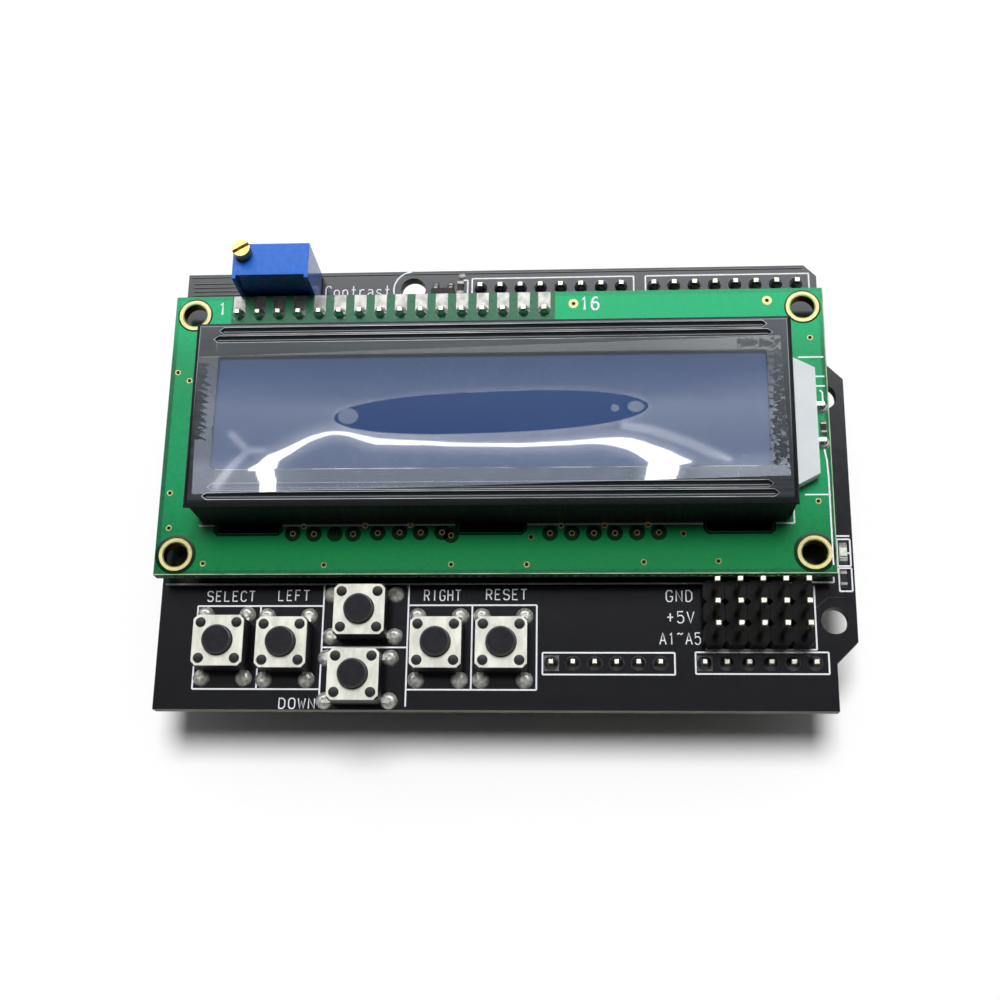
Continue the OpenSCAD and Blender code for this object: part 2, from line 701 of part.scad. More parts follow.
module select_base() at_switch(0) sw_base();
module select_cover() at_switch(0) sw_cover();
module select_button() at_switch(0) sw_button();
module select_dome() at_switch(0) sw_dome();
module left_base() at_switch(1) sw_base();
module left_cover() at_switch(1) sw_cover();
module left_button() at_switch(1) sw_button();
module left_dome() at_switch(1) sw_dome();
module up_base() at_switch(2) sw_base();
module up_cover() at_switch(2) sw_cover();
module up_button() at_switch(2) sw_button();
module up_dome() at_switch(2) sw_dome();
module down_base() at_switch(3) sw_base();
module down_cover() at_switch(3) sw_cover();
module down_button() at_switch(3) sw_button();
module down_dome() at_switch(3) sw_dome();
module right_base() at_switch(4) sw_base();
module right_cover() at_switch(4) sw_cover();
module right_button() at_switch(4) sw_button();
module right_dome() at_switch(4) sw_dome();
module reset_base() at_switch(5) sw_base();
module reset_cover() at_switch(5) sw_cover();
module reset_button() at_switch(5) sw_button();
module reset_dome() at_switch(5) sw_dome();

shield_board();
digital_high_strip();
digital_low_strip();
power_strip();
analog_strip();
digital_high_pins();
digital_low_pins();
power_pins();
analog_pins();
header_solder();
lcd_board();
lcd_hole_rings();
lcd_bezel();
lcd_glass();
screen_film();
upper_rubber_strip();
lower_rubber_strip();
backlight_block();
backlight_leads();
controller_blobs();
lcd_header_strip();
lcd_header_pins();
lcd_solder();
trimmer_body();
trimmer_screw();
trimmer_pins();
bank_strips();
bank_pins();
board_solder();
power_led();
chip_resistors();
backlight_transistor();
switch_legs();
select_base();
select_cover();
select_button();
select_dome();
left_base();
left_cover();
left_button();
left_dome();
up_base();
up_cover();
up_button();
up_dome();
down_base();
down_cover();
down_button();
down_dome();
right_base();
right_cover();
right_button();
right_dome();
reset_base();
reset_cover();
reset_button();
reset_dome();
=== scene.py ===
import math

import bmesh
import bpy
from mathutils import Matrix, Vector


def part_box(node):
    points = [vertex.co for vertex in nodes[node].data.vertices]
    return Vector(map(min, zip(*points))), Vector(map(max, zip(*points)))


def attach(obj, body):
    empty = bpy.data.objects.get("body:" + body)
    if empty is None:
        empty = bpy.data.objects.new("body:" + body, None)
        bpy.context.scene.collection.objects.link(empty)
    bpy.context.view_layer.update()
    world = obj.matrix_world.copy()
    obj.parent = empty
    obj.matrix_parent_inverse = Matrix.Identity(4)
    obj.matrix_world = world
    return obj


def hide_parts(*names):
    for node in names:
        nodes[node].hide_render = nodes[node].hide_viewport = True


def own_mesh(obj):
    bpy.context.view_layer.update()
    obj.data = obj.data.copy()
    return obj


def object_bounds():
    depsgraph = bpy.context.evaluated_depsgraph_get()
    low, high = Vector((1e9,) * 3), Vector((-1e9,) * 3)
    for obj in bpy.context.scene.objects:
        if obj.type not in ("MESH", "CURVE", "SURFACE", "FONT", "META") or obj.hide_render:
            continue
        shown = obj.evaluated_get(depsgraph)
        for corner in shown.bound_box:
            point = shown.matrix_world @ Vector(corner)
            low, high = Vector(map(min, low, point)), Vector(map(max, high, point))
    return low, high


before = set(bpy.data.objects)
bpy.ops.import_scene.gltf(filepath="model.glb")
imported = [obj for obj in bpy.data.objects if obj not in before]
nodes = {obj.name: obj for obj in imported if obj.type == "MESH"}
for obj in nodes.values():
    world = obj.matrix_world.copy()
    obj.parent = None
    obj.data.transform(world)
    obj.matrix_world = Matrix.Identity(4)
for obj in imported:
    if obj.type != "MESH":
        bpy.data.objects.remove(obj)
cad_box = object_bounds()

# Shield board. Glass-fibre laminate with copper on both faces under a glossy black solder mask,
# routed to its outline, so the pale cut laminate shows all round the edge and in the holes.
MM = 0.001


def put(tree, kind, inputs=None, **settings):
    """Adds a shader node: settings first, then each input as a link or a value."""
    node = tree.nodes.new(kind)
    for key, value in settings.items():
        setattr(node, key, value)
    for key, value in (inputs or {}).items():
        if isinstance(value, bpy.types.NodeSocket):
            tree.links.new(value, node.inputs[key])
        else:
            node.inputs[key].default_value = value
    return node


def maths(tree, operation, a, b=0.0):
    return put(tree, "ShaderNodeMath", {0: a, 1: b}, operation=operation).outputs[0]


def spread(tree, value, low, high, to_low=0.0, to_high=1.0, smooth=False):
    """Value between low and high, laid out between to_low and to_high."""
    kind = "SMOOTHSTEP" if smooth else "LINEAR"
    ends = {"Value": value, "From Min": low, "From Max": high, "To Min": to_low, "To Max": to_high}
    return put(tree, "ShaderNodeMapRange", ends, interpolation_type=kind).outputs[0]


def mixed(tree, factor, a, b):
    """Colour a where factor is 0, colour b where it is 1."""
    return put(tree, "ShaderNodeMix", {0: factor, 6: a, 7: b}, data_type="RGBA").outputs[2]


def blended(tree, factor, a, b):
    """Value a where factor is 0, value b where it is 1."""
    return put(tree, "ShaderNodeMix", {0: factor, 2: a, 3: b}, data_type="FLOAT").outputs[0]


MOTTLE = bpy.data.node_groups.new("mottle", "ShaderNodeTree")
for label, kind, value in (
    ("Tone", "NodeSocketColor", (0.5, 0.5, 0.5, 1)), ("Fleck", "NodeSocketColor", (0.6, 0.6, 0.6, 1)),
    ("Scale", "NodeSocketFloat", 500.0), ("Stretch", "NodeSocketVector", (1, 1, 1)),
    ("Smooth", "NodeSocketFloat", 0.3), ("Rough", "NodeSocketFloat", 0.4),
):
    MOTTLE.interface.new_socket(label, in_out="INPUT", socket_type=kind).default_value = value
for label, kind in (("Colour", "NodeSocketColor"), ("Roughness", "NodeSocketFloat"),
                    ("Height", "NodeSocketFloat")):
    MOTTLE.interface.new_socket(label, in_out="OUTPUT", socket_type=kind)
given = MOTTLE.nodes.new("NodeGroupInput").outputs
result = MOTTLE.nodes.new("NodeGroupOutput").inputs
laid = put(MOTTLE, "ShaderNodeMapping", {
    "Vector": put(MOTTLE, "ShaderNodeTexCoord").outputs["Object"], "Scale": given["Stretch"],
}).outputs[0]
broad = put(MOTTLE, "ShaderNodeTexNoise", {
    "Vector": laid, "Scale": given["Scale"], "Detail": 5.0, "Roughness": 0.62,
}).outputs[0]
fine = put(MOTTLE, "ShaderNodeTexNoise", {
    "Vector": laid, "Scale": maths(MOTTLE, "MULTIPLY", given["Scale"], 7.0), "Detail": 3.0,
}).outputs[0]
patches = spread(MOTTLE, broad, 0.38, 0.62)
MOTTLE.links.new(mixed(MOTTLE, patches, given["Tone"], given["Fleck"]), result["Colour"])
MOTTLE.links.new(spread(MOTTLE, fine, 0.3, 0.7, given["Smooth"], given["Rough"]), result["Roughness"])
MOTTLE.links.new(maths(MOTTLE, "ADD", maths(MOTTLE, "MULTIPLY", broad, 0.6),
                       maths(MOTTLE, "MULTIPLY", fine, 0.4)), result["Height"])


def mottled(tree, tone, fleck, rough, scale, stretch=(1, 1, 1)):
    """The mottle with its own colours, gloss range and grain, scale in patches per metre."""
    return put(tree, "ShaderNodeGroup", {
        "Tone": (*tone, 1), "Fleck": (*fleck, 1), "Scale": scale, "Stretch": stretch,
        "Smooth": rough[0], "Rough": rough[1],
    }, node_tree=MOTTLE).outputs


def opened(material):
    """The material's node tree and its shader's inputs."""
    return material.node_tree, material.node_tree.nodes["Principled BSDF"].inputs


def fed(socket):
    """What feeds a shader's socket so far."""
    return socket.links[0].from_socket


def finish(name, tone, fleck, rough, scale, stretch=(1, 1, 1), relief=0.01, **gloss):
    """A finish with the mottle's colour, gloss and relief (in mm); gloss sets constant sockets."""
    material = bpy.data.materials.new(name)
    material.use_nodes = True
    tree, shader = opened(material)
    look = mottled(tree, tone, fleck, rough, scale, stretch)
    tree.links.new(look["Colour"], shader["Base Color"])
    tree.links.new(look["Roughness"], shader["Roughness"])
    bump = put(tree, "ShaderNodeBump", {"Strength": 1.0, "Distance": relief * MM, "Height": look["Height"]})
    tree.links.new(bump.outputs[0], shader["Normal"])
    for socket, value in gloss.items():
        shader[socket.replace("_", " ").title().replace("Ior", "IOR")].default_value = value
    return material


def lying(tree, low=0.4, high=0.6):
    """1 on flat-lying faces, 0 on upright ones; low and high bound the normal's upright part between."""
    normal = put(tree, "ShaderNodeSeparateXYZ", {0: put(tree, "ShaderNodeNewGeometry").outputs["Normal"]})
    return spread(tree, maths(tree, "ABSOLUTE", normal.outputs["Z"]), low, high)


def coated_laminate(name, mask, mask_fleck, core, core_fleck, rough, pour=None, **gloss):
    """Solder mask on the faces and cut glass cloth on the edges; pour colours the copper area."""
    material = finish(name, mask, mask_fleck, rough, 160.0, relief=0.0012, **gloss)
    tree, shader = opened(material)
    face_colour, face_rough = fed(shader["Base Color"]), fed(shader["Roughness"])
    if pour:
        face_colour = pour(tree, face_colour)
    cut = mottled(tree, core, core_fleck, (0.55, 0.8), 900.0, (0.5, 0.5, 3.0))
    face = lying(tree)
    tree.links.new(mixed(tree, face, cut["Colour"], face_colour), shader["Base Color"])
    tree.links.new(blended(tree, face, cut["Roughness"], face_rough), shader["Roughness"])
    return material


def dress(material, *names):
    """Gives CAD nodes a finish in their own material slots."""
    for name in names:
        nodes[name].data.materials.clear()
        nodes[name].data.materials.append(material)


black_mask = coated_laminate(
    "black_mask", (0.0015, 0.0013, 0.0025), (0.0025, 0.0023, 0.0038), (0.17, 0.16, 0.12), (0.08, 0.075, 0.05),
    (0.16, 0.2), specular_ior_level=0.5, specular_tint=(0.93, 0.96, 1.0, 1))
dress(black_mask, "shield_board")

# Copper tracks of the shield board. Etched copper under the mask, a hair proud of the face, so they
# only show where the gloss catches them: along the back edge, in the left corner, by the pin bank
# and over the underside.
TRACK_W = 0.3
TRACK_UP = 0.014
BOARD_T = 1.6
PITCH = 2.54
board_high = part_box("shield_board")[1]
GRID = Vector((board_high.x - 68.58 * MM, board_high.y - 53.34 * MM, board_high.z))


def host(x, y, z=0.0):
    """A place in millimetres on the controller's pin grid, z up from the mask's upper face."""
    return GRID + Vector((x, y, z)) * MM


def flat_lines(name, lines, width, up, z, material):
    """Lines in the board's plane as a low rounded bead, printed or etched on the face at z."""
    curve = bpy.data.curves.new(name, "CURVE")
    curve.dimensions = "3D"
    curve.bevel_depth = width / 2 * MM
    curve.bevel_resolution = 1
    curve.use_fill_caps = True
    for line in lines:
        spline = curve.splines.new("POLY")
        spline.points.add(len(line) - 1)
        for point, (x, y) in zip(spline.points, line):
            point.co = (*host(x, y).xy, 0, 1)
    holder = bpy.data.objects.new(name, curve)
    mesh = bpy.data.meshes.new_from_object(holder)
    bpy.data.objects.remove(holder)
    bpy.data.curves.remove(curve)
    flat = Matrix.Diagonal((1, 1, 2 * up / width, 1))
    mesh.transform(Matrix.Translation((0, 0, GRID.z + z * MM)) @ flat)
    mesh.materials.clear()
    mesh.materials.append(material)
    mesh.shade_smooth()
    mesh.name = name
    piece = bpy.data.objects.new(name, mesh)
    bpy.context.scene.collection.objects.link(piece)
    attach(piece, "board")


upper_tracks = [((-13.2, 52.1 - 0.55 * i), (-6.4, 52.1 - 0.55 * i)) for i in range(6)]
upper_tracks += [((51.92 + PITCH * i, 5.48), (51.92 + PITCH * i, 4.2), (53.34 + PITCH * i, 2.54))
                 for i in range(5)]
upper_tracks += [((63.9, 8.9), (65.4, 10.3), (67.4, 10.3), (67.4, 11.6)), ((-13.6, 52.98), (64.3, 52.98))]
flat_lines("upper_tracks", upper_tracks, TRACK_W, TRACK_UP, 0.0, black_mask)
lower_tracks = [((-5.97 + PITCH * i, 45.72), (-5.97 + PITCH * i, 40 - 1.2 * i),
                 (24 + PITCH * i, 22 + 2.2 * i), (45.72 + PITCH * i, 50.8)) for i in range(6)]
lower_tracks += [((51.92 + PITCH * i, 10.56), (50.65 + PITCH * i, 9.3),
                  (50.65 + PITCH * i, 4.4), (50.8 + PITCH * i, 2.54)) for i in range(5)]
lower_tracks += [((-3.2 + 7.62 * i, 8.16), (-3.2 + 7.62 * i, 13 + 0.9 * i), (20 + 4 * i, 15 + 0.9 * i))
                 for i in range(4)]
flat_lines("lower_tracks", lower_tracks, TRACK_W, TRACK_UP, -BOARD_T, black_mask)

# Printed legends of the shield board. White screen ink in thin ruled lines: an outline for each
# switch, pin row and chip, and short function words in the plain stroke letters of board layouts.
INK_W = 0.22
WORD_W = 0.165
INK_UP = 0.02
LETTER_GAP = 0.42
ink = finish("screen_ink", (0.93, 0.95, 0.98), (0.8, 0.83, 0.87), (0.5, 0.65), 2500.0, relief=0.004)
STROKES = {
    "S": "95,84 75,100 25,100 5,85 5,66 22,54 78,46 95,34 95,15 75,0 25,0 5,16",
    "E": "90,100 10,100 10,0 90,0|10,52 72,52",
    "L": "10,100 10,0 90,0",
    "T": "2,100 98,100|50,100 50,0",
    "C": "95,82 75,100 28,100 6,80 6,20 28,0 75,0 95,18",
    "F": "90,100 10,100 10,0|10,52 72,52",
    "D": "8,0 8,100 60,100 92,78 92,22 60,0 8,0",
    "O": "28,0 6,20 6,80 28,100 72,100 94,80 94,20 72,0 28,0",
    "W": "0,100 24,0 50,72 76,0 100,100",
    "N": "8,0 8,100 92,0 92,100",
    "V": "2,100 50,0 98,100",
    "R": "8,0 8,100 66,100 92,86 92,62 66,48 8,48|54,48 94,0",
    "I": "50,100 50,0",
    "G": "95,82 75,100 28,100 6,80 6,20 28,0 75,0 95,20 95,45 58,45",
    "A": "0,0 50,100 100,0|20,34 80,34",
    "H": "8,0 8,100|92,0 92,100|8,52 92,52",
    "1": "26,80 52,100 52,0",
    "5": "88,100 14,100 10,56 30,66 70,66 94,48 94,18 70,0 30,0 6,16",
    "6": "84,94 50,100 20,84 6,50 6,20 28,0 70,0 94,18 94,42 70,58 28,58 8,42",
    "+": "50,14 50,86|8,50 92,50",
    "~": "4,86 28,98 66,86 96,98",
    "o": "30,0 8,16 8,50 30,66 70,66 92,50 92,16 70,0 30,0",
    "n": "10,0 10,66|10,50 34,66 70,66 90,50 90,0",
    "t": "46,100 46,16 62,0 86,0|14,66 84,66",
    "r": "14,0 14,66|14,44 42,66 86,66",
    "a": "14,60 32,66 70,66 88,52 88,0|88,38 30,36 10,24 10,10 28,0 66,0 88,14",
    "s": "88,58 66,66 30,66 12,52 24,38 74,30 90,16 70,0 28,0 10,8",
}


def lettered(word, low, high):
    """The word's strokes, fitted between a lower left and an upper right corner."""
    step = (high[0] - low[0]) / (len(word) + (len(word) - 1) * LETTER_GAP)
    lines = []
    for place, letter in enumerate(word):
        for stroke in STROKES[letter].split("|"):
            points = [tuple(map(float, pair.split(","))) for pair in stroke.split()]
            lines.append([(low[0] + step * (place * (1 + LETTER_GAP) + x / 100),
                           low[1] + (high[1] - low[1]) * y / 100) for x, y in points])
    return lines


def ruled_box(x0, y0, x1, y1):
    return [((x0, y0), (x1, y0)), ((x1, y0), (x1, y1)), ((x1, y1), (x0, y1)), ((x0, y1), (x0, y0))]


# Neighbouring outlines share a side, which is printed once.
legends = [((-13.6, 12.12), (61.5, 12.12)), ((63.6, 12.2), (66.15, 12.2)), ((66.15, 12.2), (66.15, 48.0)),
           ((5.82, 4.4), (16.0, 4.4)), ((5.82, 12.12), (5.82, -2.6)), ((16.02, 12.12), (16.02, -2.6)),
           ((66.68, 17.85), (68.25, 17.85)), ((22.2, 49.6), (22.2, 52.0)), ((22.2, 52.0), (21.6, 52.0)),
           ((67.9, 15.75), (68.25, 15.75))]
legends += [((-9.4, y), (5.82, y)) for y in (-0.6, 9.43)]
legends += [((x, -0.6), (x, 9.43)) for x in (-9.4, -1.75)]
legends += [((16.02, y), (31.3, y)) for y in (-0.62, 9.5)]
legends += [((x, -0.62), (x, 9.5)) for x in (23.65, 31.3)]
for corners in ((32.0, 1.2, 47.4, 3.78), (49.8, 1.3, 65.1, 3.85), (22.77, 49.35, 43.24, 52.2),
                (44.72, 49.35, 65.1, 52.2), (51.05, 4.16, 63.8, 11.75), (66.72, 14.18, 68.25, 17.45),
                (66.79, 11.12, 68.27, 13.92)):
    legends += ruled_box(*corners)
bearings = [math.radians(a) for a in range(95, 226, 10)]
legends += [[(15.24 + 2.5 * math.cos(a), 50.8 + 2.5 * math.sin(a)) for a in bearings]]
flat_lines("printed_outlines", legends, INK_W, INK_UP, 0.0, ink)
words = []
for word, low, high in (
    ("SELECT", (-8.35, 10.03), (-2.55, 11.25)), ("LEFT", (0.25, 10.1), (4.05, 11.35)),
    ("DOWN", (1.05, -2.87), (5.38, -1.68)), ("RIGHT", (17.85, 10.08), (22.25, 11.35)),
    ("RESET", (25.25, 10.18), (30.1, 11.42)), ("GND", (46.5, 9.93), (49.6, 11.25)),
    ("+5V", (46.55, 7.36), (49.75, 8.7)), ("A1~A5", (45.7, 4.8), (50.45, 6.15)),
    ("Contrast", (3.95, 49.88), (12.3, 51.42)),
):
    words += lettered(word, low, high)
flat_lines("printed_words", words, WORD_W, INK_UP, 0.0, ink)

# Solder pads of the shield board. Copper rings round every plated hole, on both faces, with a
# square one at the first pin of some rows, tinned bright, or in the stacking joints' dark solder.
PAD_UP = 0.035
PAD_RADII = (0.92, 0.5)
LEG_PAD_RADII = (1.02, 0.55)
tinned = finish("tinned_copper", (0.62, 0.62, 0.6), (0.5, 0.5, 0.49), (0.4, 0.55), 1500.0, relief=0.006,
                metallic=1.0)
dark_solder = finish("dark_solder", (0.13, 0.132, 0.138), (0.09, 0.092, 0.096), (0.26, 0.42), 1100.0,
                     relief=0.01, metallic=1.0)
digital_high = [(23.876 + PITCH * i, 50.8) for i in range(8)]
digital_low = [(45.72 + PITCH * i, 50.8) for i in range(8)]
power = [(33.02 + PITCH * i, 2.54) for i in range(6)]
analog = [(50.8 + PITCH * i, 2.54) for i in range(6)]
stacking = digital_high + digital_low + power + analog
bank = [(51.92 + PITCH * i, 5.48 + PITCH * r) for r in range(3) for i in range(5)]
display_row = [(-5.97 + PITCH * i, 45.72) for i in range(16)]
trimmer_holes = [(-1.22 - PITCH, 50.21), (-1.22, 51.41), (-1.22 + PITCH, 50.21)]
first_pins = [power[0], analog[0], bank[0], display_row[0]]
SWITCHES = {"select": (-5.86, 4.55, False), "left": (1.63, 4.35, False), "up": (10.65, 8.26, True),
            "down": (10.25, 0.59, True), "right": (19.72, 4.35, False), "reset": (27.34, 4.35, False)}
LEG_GAP = 5.08
LEG_OUT = 3.81
leg_holes = []
for x, y, turned_round in SWITCHES.values():
    for sx in (-1, 1):
        for sy in (-1, 1):
            dx, dy = (sx * LEG_GAP / 2, sy * LEG_OUT)
            leg_holes.append((x - dy, y + dx) if turned_round else (x + dx, y + dy))


def turned(bm, profile, centre, steps=16, closed=False):
    """Spins a profile of (radius, height) pairs in mm about the upright through centre."""
    made = [bm.verts.new(centre + Vector((r, 0, z)) * MM) for r, z in profile]
    pairs = list(zip(made, made[1:])) + ([(made[-1], made[0])] if closed else [])
    edges = [bm.edges.new(pair) for pair in pairs]
    bmesh.ops.spin(bm, geom=made + edges, cent=centre, axis=(0, 0, 1), angle=2 * math.pi, steps=steps,
                   use_merge=True)


def block(bm, low, high):
    """A rectangular plate between two corners."""
    place = Matrix.Translation((low + high) / 2) @ Matrix.Diagonal((*(high - low), 1))
    return bmesh.ops.create_cube(bm, size=1.0, matrix=place)["verts"]


def add_piece(name, bm, materials, body="board", stands_for=(), crease=40.0, closed=True):
    """Makes the mesh an object that rides on a body, with seams merged and faces turned outwards."""
    bmesh.ops.remove_doubles(bm, verts=bm.verts, dist=0.0005 * MM)
    if closed:
        bmesh.ops.recalc_face_normals(bm, faces=bm.faces)
    mesh = bpy.data.meshes.new(name)
    bm.to_mesh(mesh)
    bm.free()
    for material in materials:
        mesh.materials.append(material)
    mesh.shade_smooth()
    mesh.set_sharp_from_angle(angle=math.radians(crease))
    piece = bpy.data.objects.new(name, mesh)
    bpy.context.scene.collection.objects.link(piece)
    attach(piece, body)
    if stands_for:
        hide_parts(*stands_for)
    return piece


for name, holes, material in (("stacking_pads", stacking, dark_solder),
                              ("shield_pads", bank + display_row + trimmer_holes + leg_holes, tinned)):
    bm = bmesh.new()
    for x, y in holes:
        outer, inner = LEG_PAD_RADII if (x, y) in leg_holes else PAD_RADII
        for face, way in ((0.0, 1), (-BOARD_T, -1)):
            if (x, y) in first_pins:
                low, high = sorted((face, face + way * PAD_UP))
                block(bm, host(x - outer, y - outer, low), host(x + outer, y + outer, high))
            else:
                ring = [(outer, 0), (outer - 0.04, way * PAD_UP), (inner, way * PAD_UP)]
                turned(bm, ring, host(x, y, face))
    add_piece(name, bm, [material])

# Stacking pins. Square gilded pins pressed through black moulded strips under the board and
# soldered on its upper face, where each joint draws up to the pin's tapered tip.
header_plastic = finish("header_plastic", (0.004, 0.004, 0.0045), (0.008, 0.008, 0.0085), (0.38, 0.5), 700.0,
                        relief=0.006, specular_ior_level=0.1)
header_pin = finish("gilded_pin", (0.85, 0.82, 0.73), (0.74, 0.7, 0.58), (0.12, 0.2), 900.0, (1, 1, 0.2),
                    relief=0.004, metallic=1.0)
TIP_ROUGH = 0.55
tree, shader = opened(header_pin)
tree.links.new(blended(tree, lying(tree, 0.88, 0.96), fed(shader["Roughness"]), TIP_ROUGH),
               shader["Roughness"])
dress(header_plastic, "digital_high_strip", "digital_low_strip", "power_strip", "analog_strip")
dress(header_pin, "digital_high_pins", "digital_low_pins", "power_pins", "analog_pins")
JOINT = [(0.86, 0.0), (0.8, 0.1), (0.62, 0.26), (0.48, 0.5), (0.4, 0.85)]


def joint(bm, x, y, z, way=1, wide=1.0, tall=1.0):
    """A solder fillet drawn up a pin from the face at z."""
    turned(bm, [(r * wide, way * h * tall) for r, h in JOINT], host(x, y, z), steps=14)


bm = bmesh.new()
for x, y in stacking:
    joint(bm, x, y, PAD_UP / 2)
add_piece("stacking_joints", bm, [dark_solder], stands_for=("header_solder",), crease=60.0)

# Push switches. A black moulded base on four bent legs, a bright pressed cover held by four staked
# posts, a snap dome inside and a black button; each leg stands in a round drop of solder.
BASE_ROUND, COVER_ROUND, BUTTON_ROUND = 0.06, 0.07, 0.16
DROP = [(0.97, 0.0), (0.94, 0.16), (0.82, 0.38), (0.6, 0.58), (0.34, 0.7), (0.28, 0.68), (0.0, 0.7)]
switch_base = finish("switch_base", (0.007, 0.007, 0.008), (0.013, 0.013, 0.014), (0.34, 0.5), 900.0,
                     relief=0.012, specular_ior_level=0.3)
switch_cover = finish("switch_cover", (0.79, 0.785, 0.7), (0.6, 0.6, 0.54), (0.36, 0.5), 900.0, (1, 0.35, 1),
                      relief=0.005, metallic=0.15)
# The cover's rounded edges are painted near white: a painted highlight.
cover_highlight = finish("cover_highlight", (0.97, 0.97, 0.93), (0.9, 0.9, 0.86), (0.3, 0.42), 1400.0, relief=0.003)
switch_button = finish("switch_button", (0.0085, 0.0088, 0.012), (0.014, 0.0145, 0.018), (0.4, 0.55), 1100.0,
                       relief=0.006, specular_ior_level=0.14)
# The button's rounded rim is glossier, a real gloss, and painted lighter, a painted highlight.
button_rim_highlight = finish("button_rim_highlight", (0.02, 0.0205, 0.022), (0.035, 0.036, 0.038), (0.28, 0.4), 1500.0,
                     relief=0.006)
spring_steel = finish("spring_steel", (0.66, 0.66, 0.65), (0.55, 0.55, 0.54), (0.2, 0.35), 700.0, metallic=1.0)
leg_solder = finish("leg_solder", (0.6, 0.6, 0.56), (0.27, 0.27, 0.24), (0.3, 0.45), 1700.0, relief=0.02,
                    metallic=0.45)
dress(tinned, "switch_legs")


def merged_copy(node):
    """The node's solid as a mesh of its own, its loose triangles joined."""
    bm = bmesh.new()
    bm.from_mesh(nodes[node].data)
    bmesh.ops.remove_doubles(bm, verts=bm.verts, dist=0.002 * MM)
    return bm


def softened(node, radius, material, body="board", segments=2, edge=None):
    """The node's solid with its edges rounded as moulding or pressing leaves them; edge, where given, is
    a lighter finish on the rounded faces that paints their highlight.
    """
    bm = merged_copy(node)
    bmesh.ops.dissolve_limit(bm, angle_limit=math.radians(2), verts=bm.verts, edges=bm.edges)
    sharp = [e for e in bm.edges if len(e.link_faces) == 2 and e.calc_face_angle() > math.radians(40)]
    rounded = bmesh.ops.bevel(bm, geom=sharp, offset=radius * MM, offset_type="OFFSET", affect="EDGES",
                              segments=segments, profile=0.5, material=-1, clamp_overlap=True)["faces"]
    for face in rounded:
        face.material_index = 1 if edge else 0
    finishes = [material, edge] if edge else [material]
    piece = add_piece(node + "_softened", bm, finishes, body, (node,), crease=50.0, closed=False)
    piece.modifiers.new("even_faces", "WEIGHTED_NORMAL").keep_sharp = True
    return piece


for key in SWITCHES:
    softened(key + "_base", BASE_ROUND, switch_base)
    softened(key + "_cover", COVER_ROUND, switch_cover, edge=cover_highlight)
    softened(key + "_button", BUTTON_ROUND, switch_button, key + "_button", 3, button_rim_highlight)
    dome = key + "_dome"
    spring = add_piece(key + "_spring", merged_copy(dome), [spring_steel], stands_for=(dome,))
    low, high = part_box(dome)
    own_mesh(spring)
bm = bmesh.new()
for place, (x, y) in enumerate(leg_holes):
    tall = 0.92 + 0.12 * math.sin(place * 2.4)
    turned(bm, [(r, h * tall) for r, h in DROP], host(x, y, PAD_UP / 2), steps=20)
    joint(bm, x, y, -BOARD_T, -1)
for x, y in bank + display_row + trimmer_holes:
    joint(bm, x, y, -BOARD_T, -1)
add_piece("board_joints", bm, [leg_solder], stands_for=("board_solder",), crease=60.0)

# Three-row pin bank. Five black moulded columns of three square gilded pins each, pressed
# together side by side and soldered below, for three-wire leads.
dress(header_plastic, "bank_strips")
dress(header_pin, "bank_pins")

# Chip parts. A clear power lamp on its carrier, black chip resistors with tinned end caps and the
# small black transistor that switches the backlight, all soldered flat on pads of the boards.
LCD_Z = 4.14
CAP_OVER = 0.012
FILLET = 0.3
RESISTORS = [(67.26, 12.62), (21.3, 50.85)] + [(-5.71 + 7.62 * i, 16.0) for i in range(5)]
LAMP_AT = (67.36, 15.72)
BACKLIGHT_RESISTOR = (65.23, 29.95)
TRANSISTOR_AT = (19.1, 50.0)
LEAD_BENDS = ((0.66, 1.06, 0.53, 0.69), (0.89, 1.05, 0.0, 0.69), (0.89, 1.22, 0.0, 0.16))
BARE_PAD = (21.46, 52.54)
lamp = finish("lamp_resin", (0.6, 0.66, 0.52), (0.88, 0.9, 0.8), (0.1, 0.2), 1500.0, relief=0.01,
              coat_weight=0.6)
chip_black = finish("chip_black", (0.012, 0.012, 0.013), (0.022, 0.021, 0.022), (0.3, 0.45), 1800.0,
                    relief=0.006, specular_ior_level=0.15)
pad_tin = finish("pad_tin", (0.27, 0.27, 0.26), (0.17, 0.17, 0.16), (0.42, 0.55), 1300.0, relief=0.006,
                 metallic=1.0)
dress(lamp, "power_led")
dress(chip_black, "chip_resistors", "backlight_transistor")


def chip_ends(bm, x, y, z, length, width, height, cap):
    """The end caps of a chip that lies along y, each with the solder that ramps down to its pad."""
    half = width / 2 + CAP_OVER
    for side in (-1, 1):
        end = y + side * (length / 2 + CAP_OVER)
        inner = y + side * (length / 2 - cap)
        block(bm, host(x - half, min(inner, end), z), host(x + half, max(inner, end), z + height + CAP_OVER))
        toe = end + side * FILLET
        ramp = block(bm, host(x - half, min(end, toe), z), host(x + half, max(end, toe), z + 0.7 * height))
        for v in ramp:
            if abs(v.co.y - host(x, toe).y) < 0.01 * MM and v.co.z > host(x, y, z + 0.1).z:
                v.co.z = host(x, y, z + 0.06).z


bm = bmesh.new()
for x, y in RESISTORS:
    chip_ends(bm, x, y, 0.0, 1.6, 0.8, 0.45, 0.3)
chip_ends(bm, *LAMP_AT, 0.0, 2.0, 0.9, 0.3, 0.36)
chip_ends(bm, *BACKLIGHT_RESISTOR, LCD_Z, 1.28, 0.64, 0.36, 0.24)
for across, way in ((-0.95, 1), (0.95, 1), (0.0, -1)):
    lead_x = TRANSISTOR_AT[0] + across
    for near, far, low, high in LEAD_BENDS:
        y0, y1 = sorted((TRANSISTOR_AT[1] + way * near, TRANSISTOR_AT[1] + way * far))
        block(bm, host(lead_x - 0.22, y0, low), host(lead_x + 0.22, y1, high))
    toe = [(0.46, 0.0), (0.42, 0.12), (0.26, 0.26), (0.0, 0.31)]
    turned(bm, toe, host(lead_x, TRANSISTOR_AT[1] + way * 1.3))
turned(bm, [(0.5, 0.0), (0.42, 0.06), (0.2, 0.1), (0.0, 0.11)], host(*BARE_PAD))
add_piece("chip_ends", bm, [pad_tin])

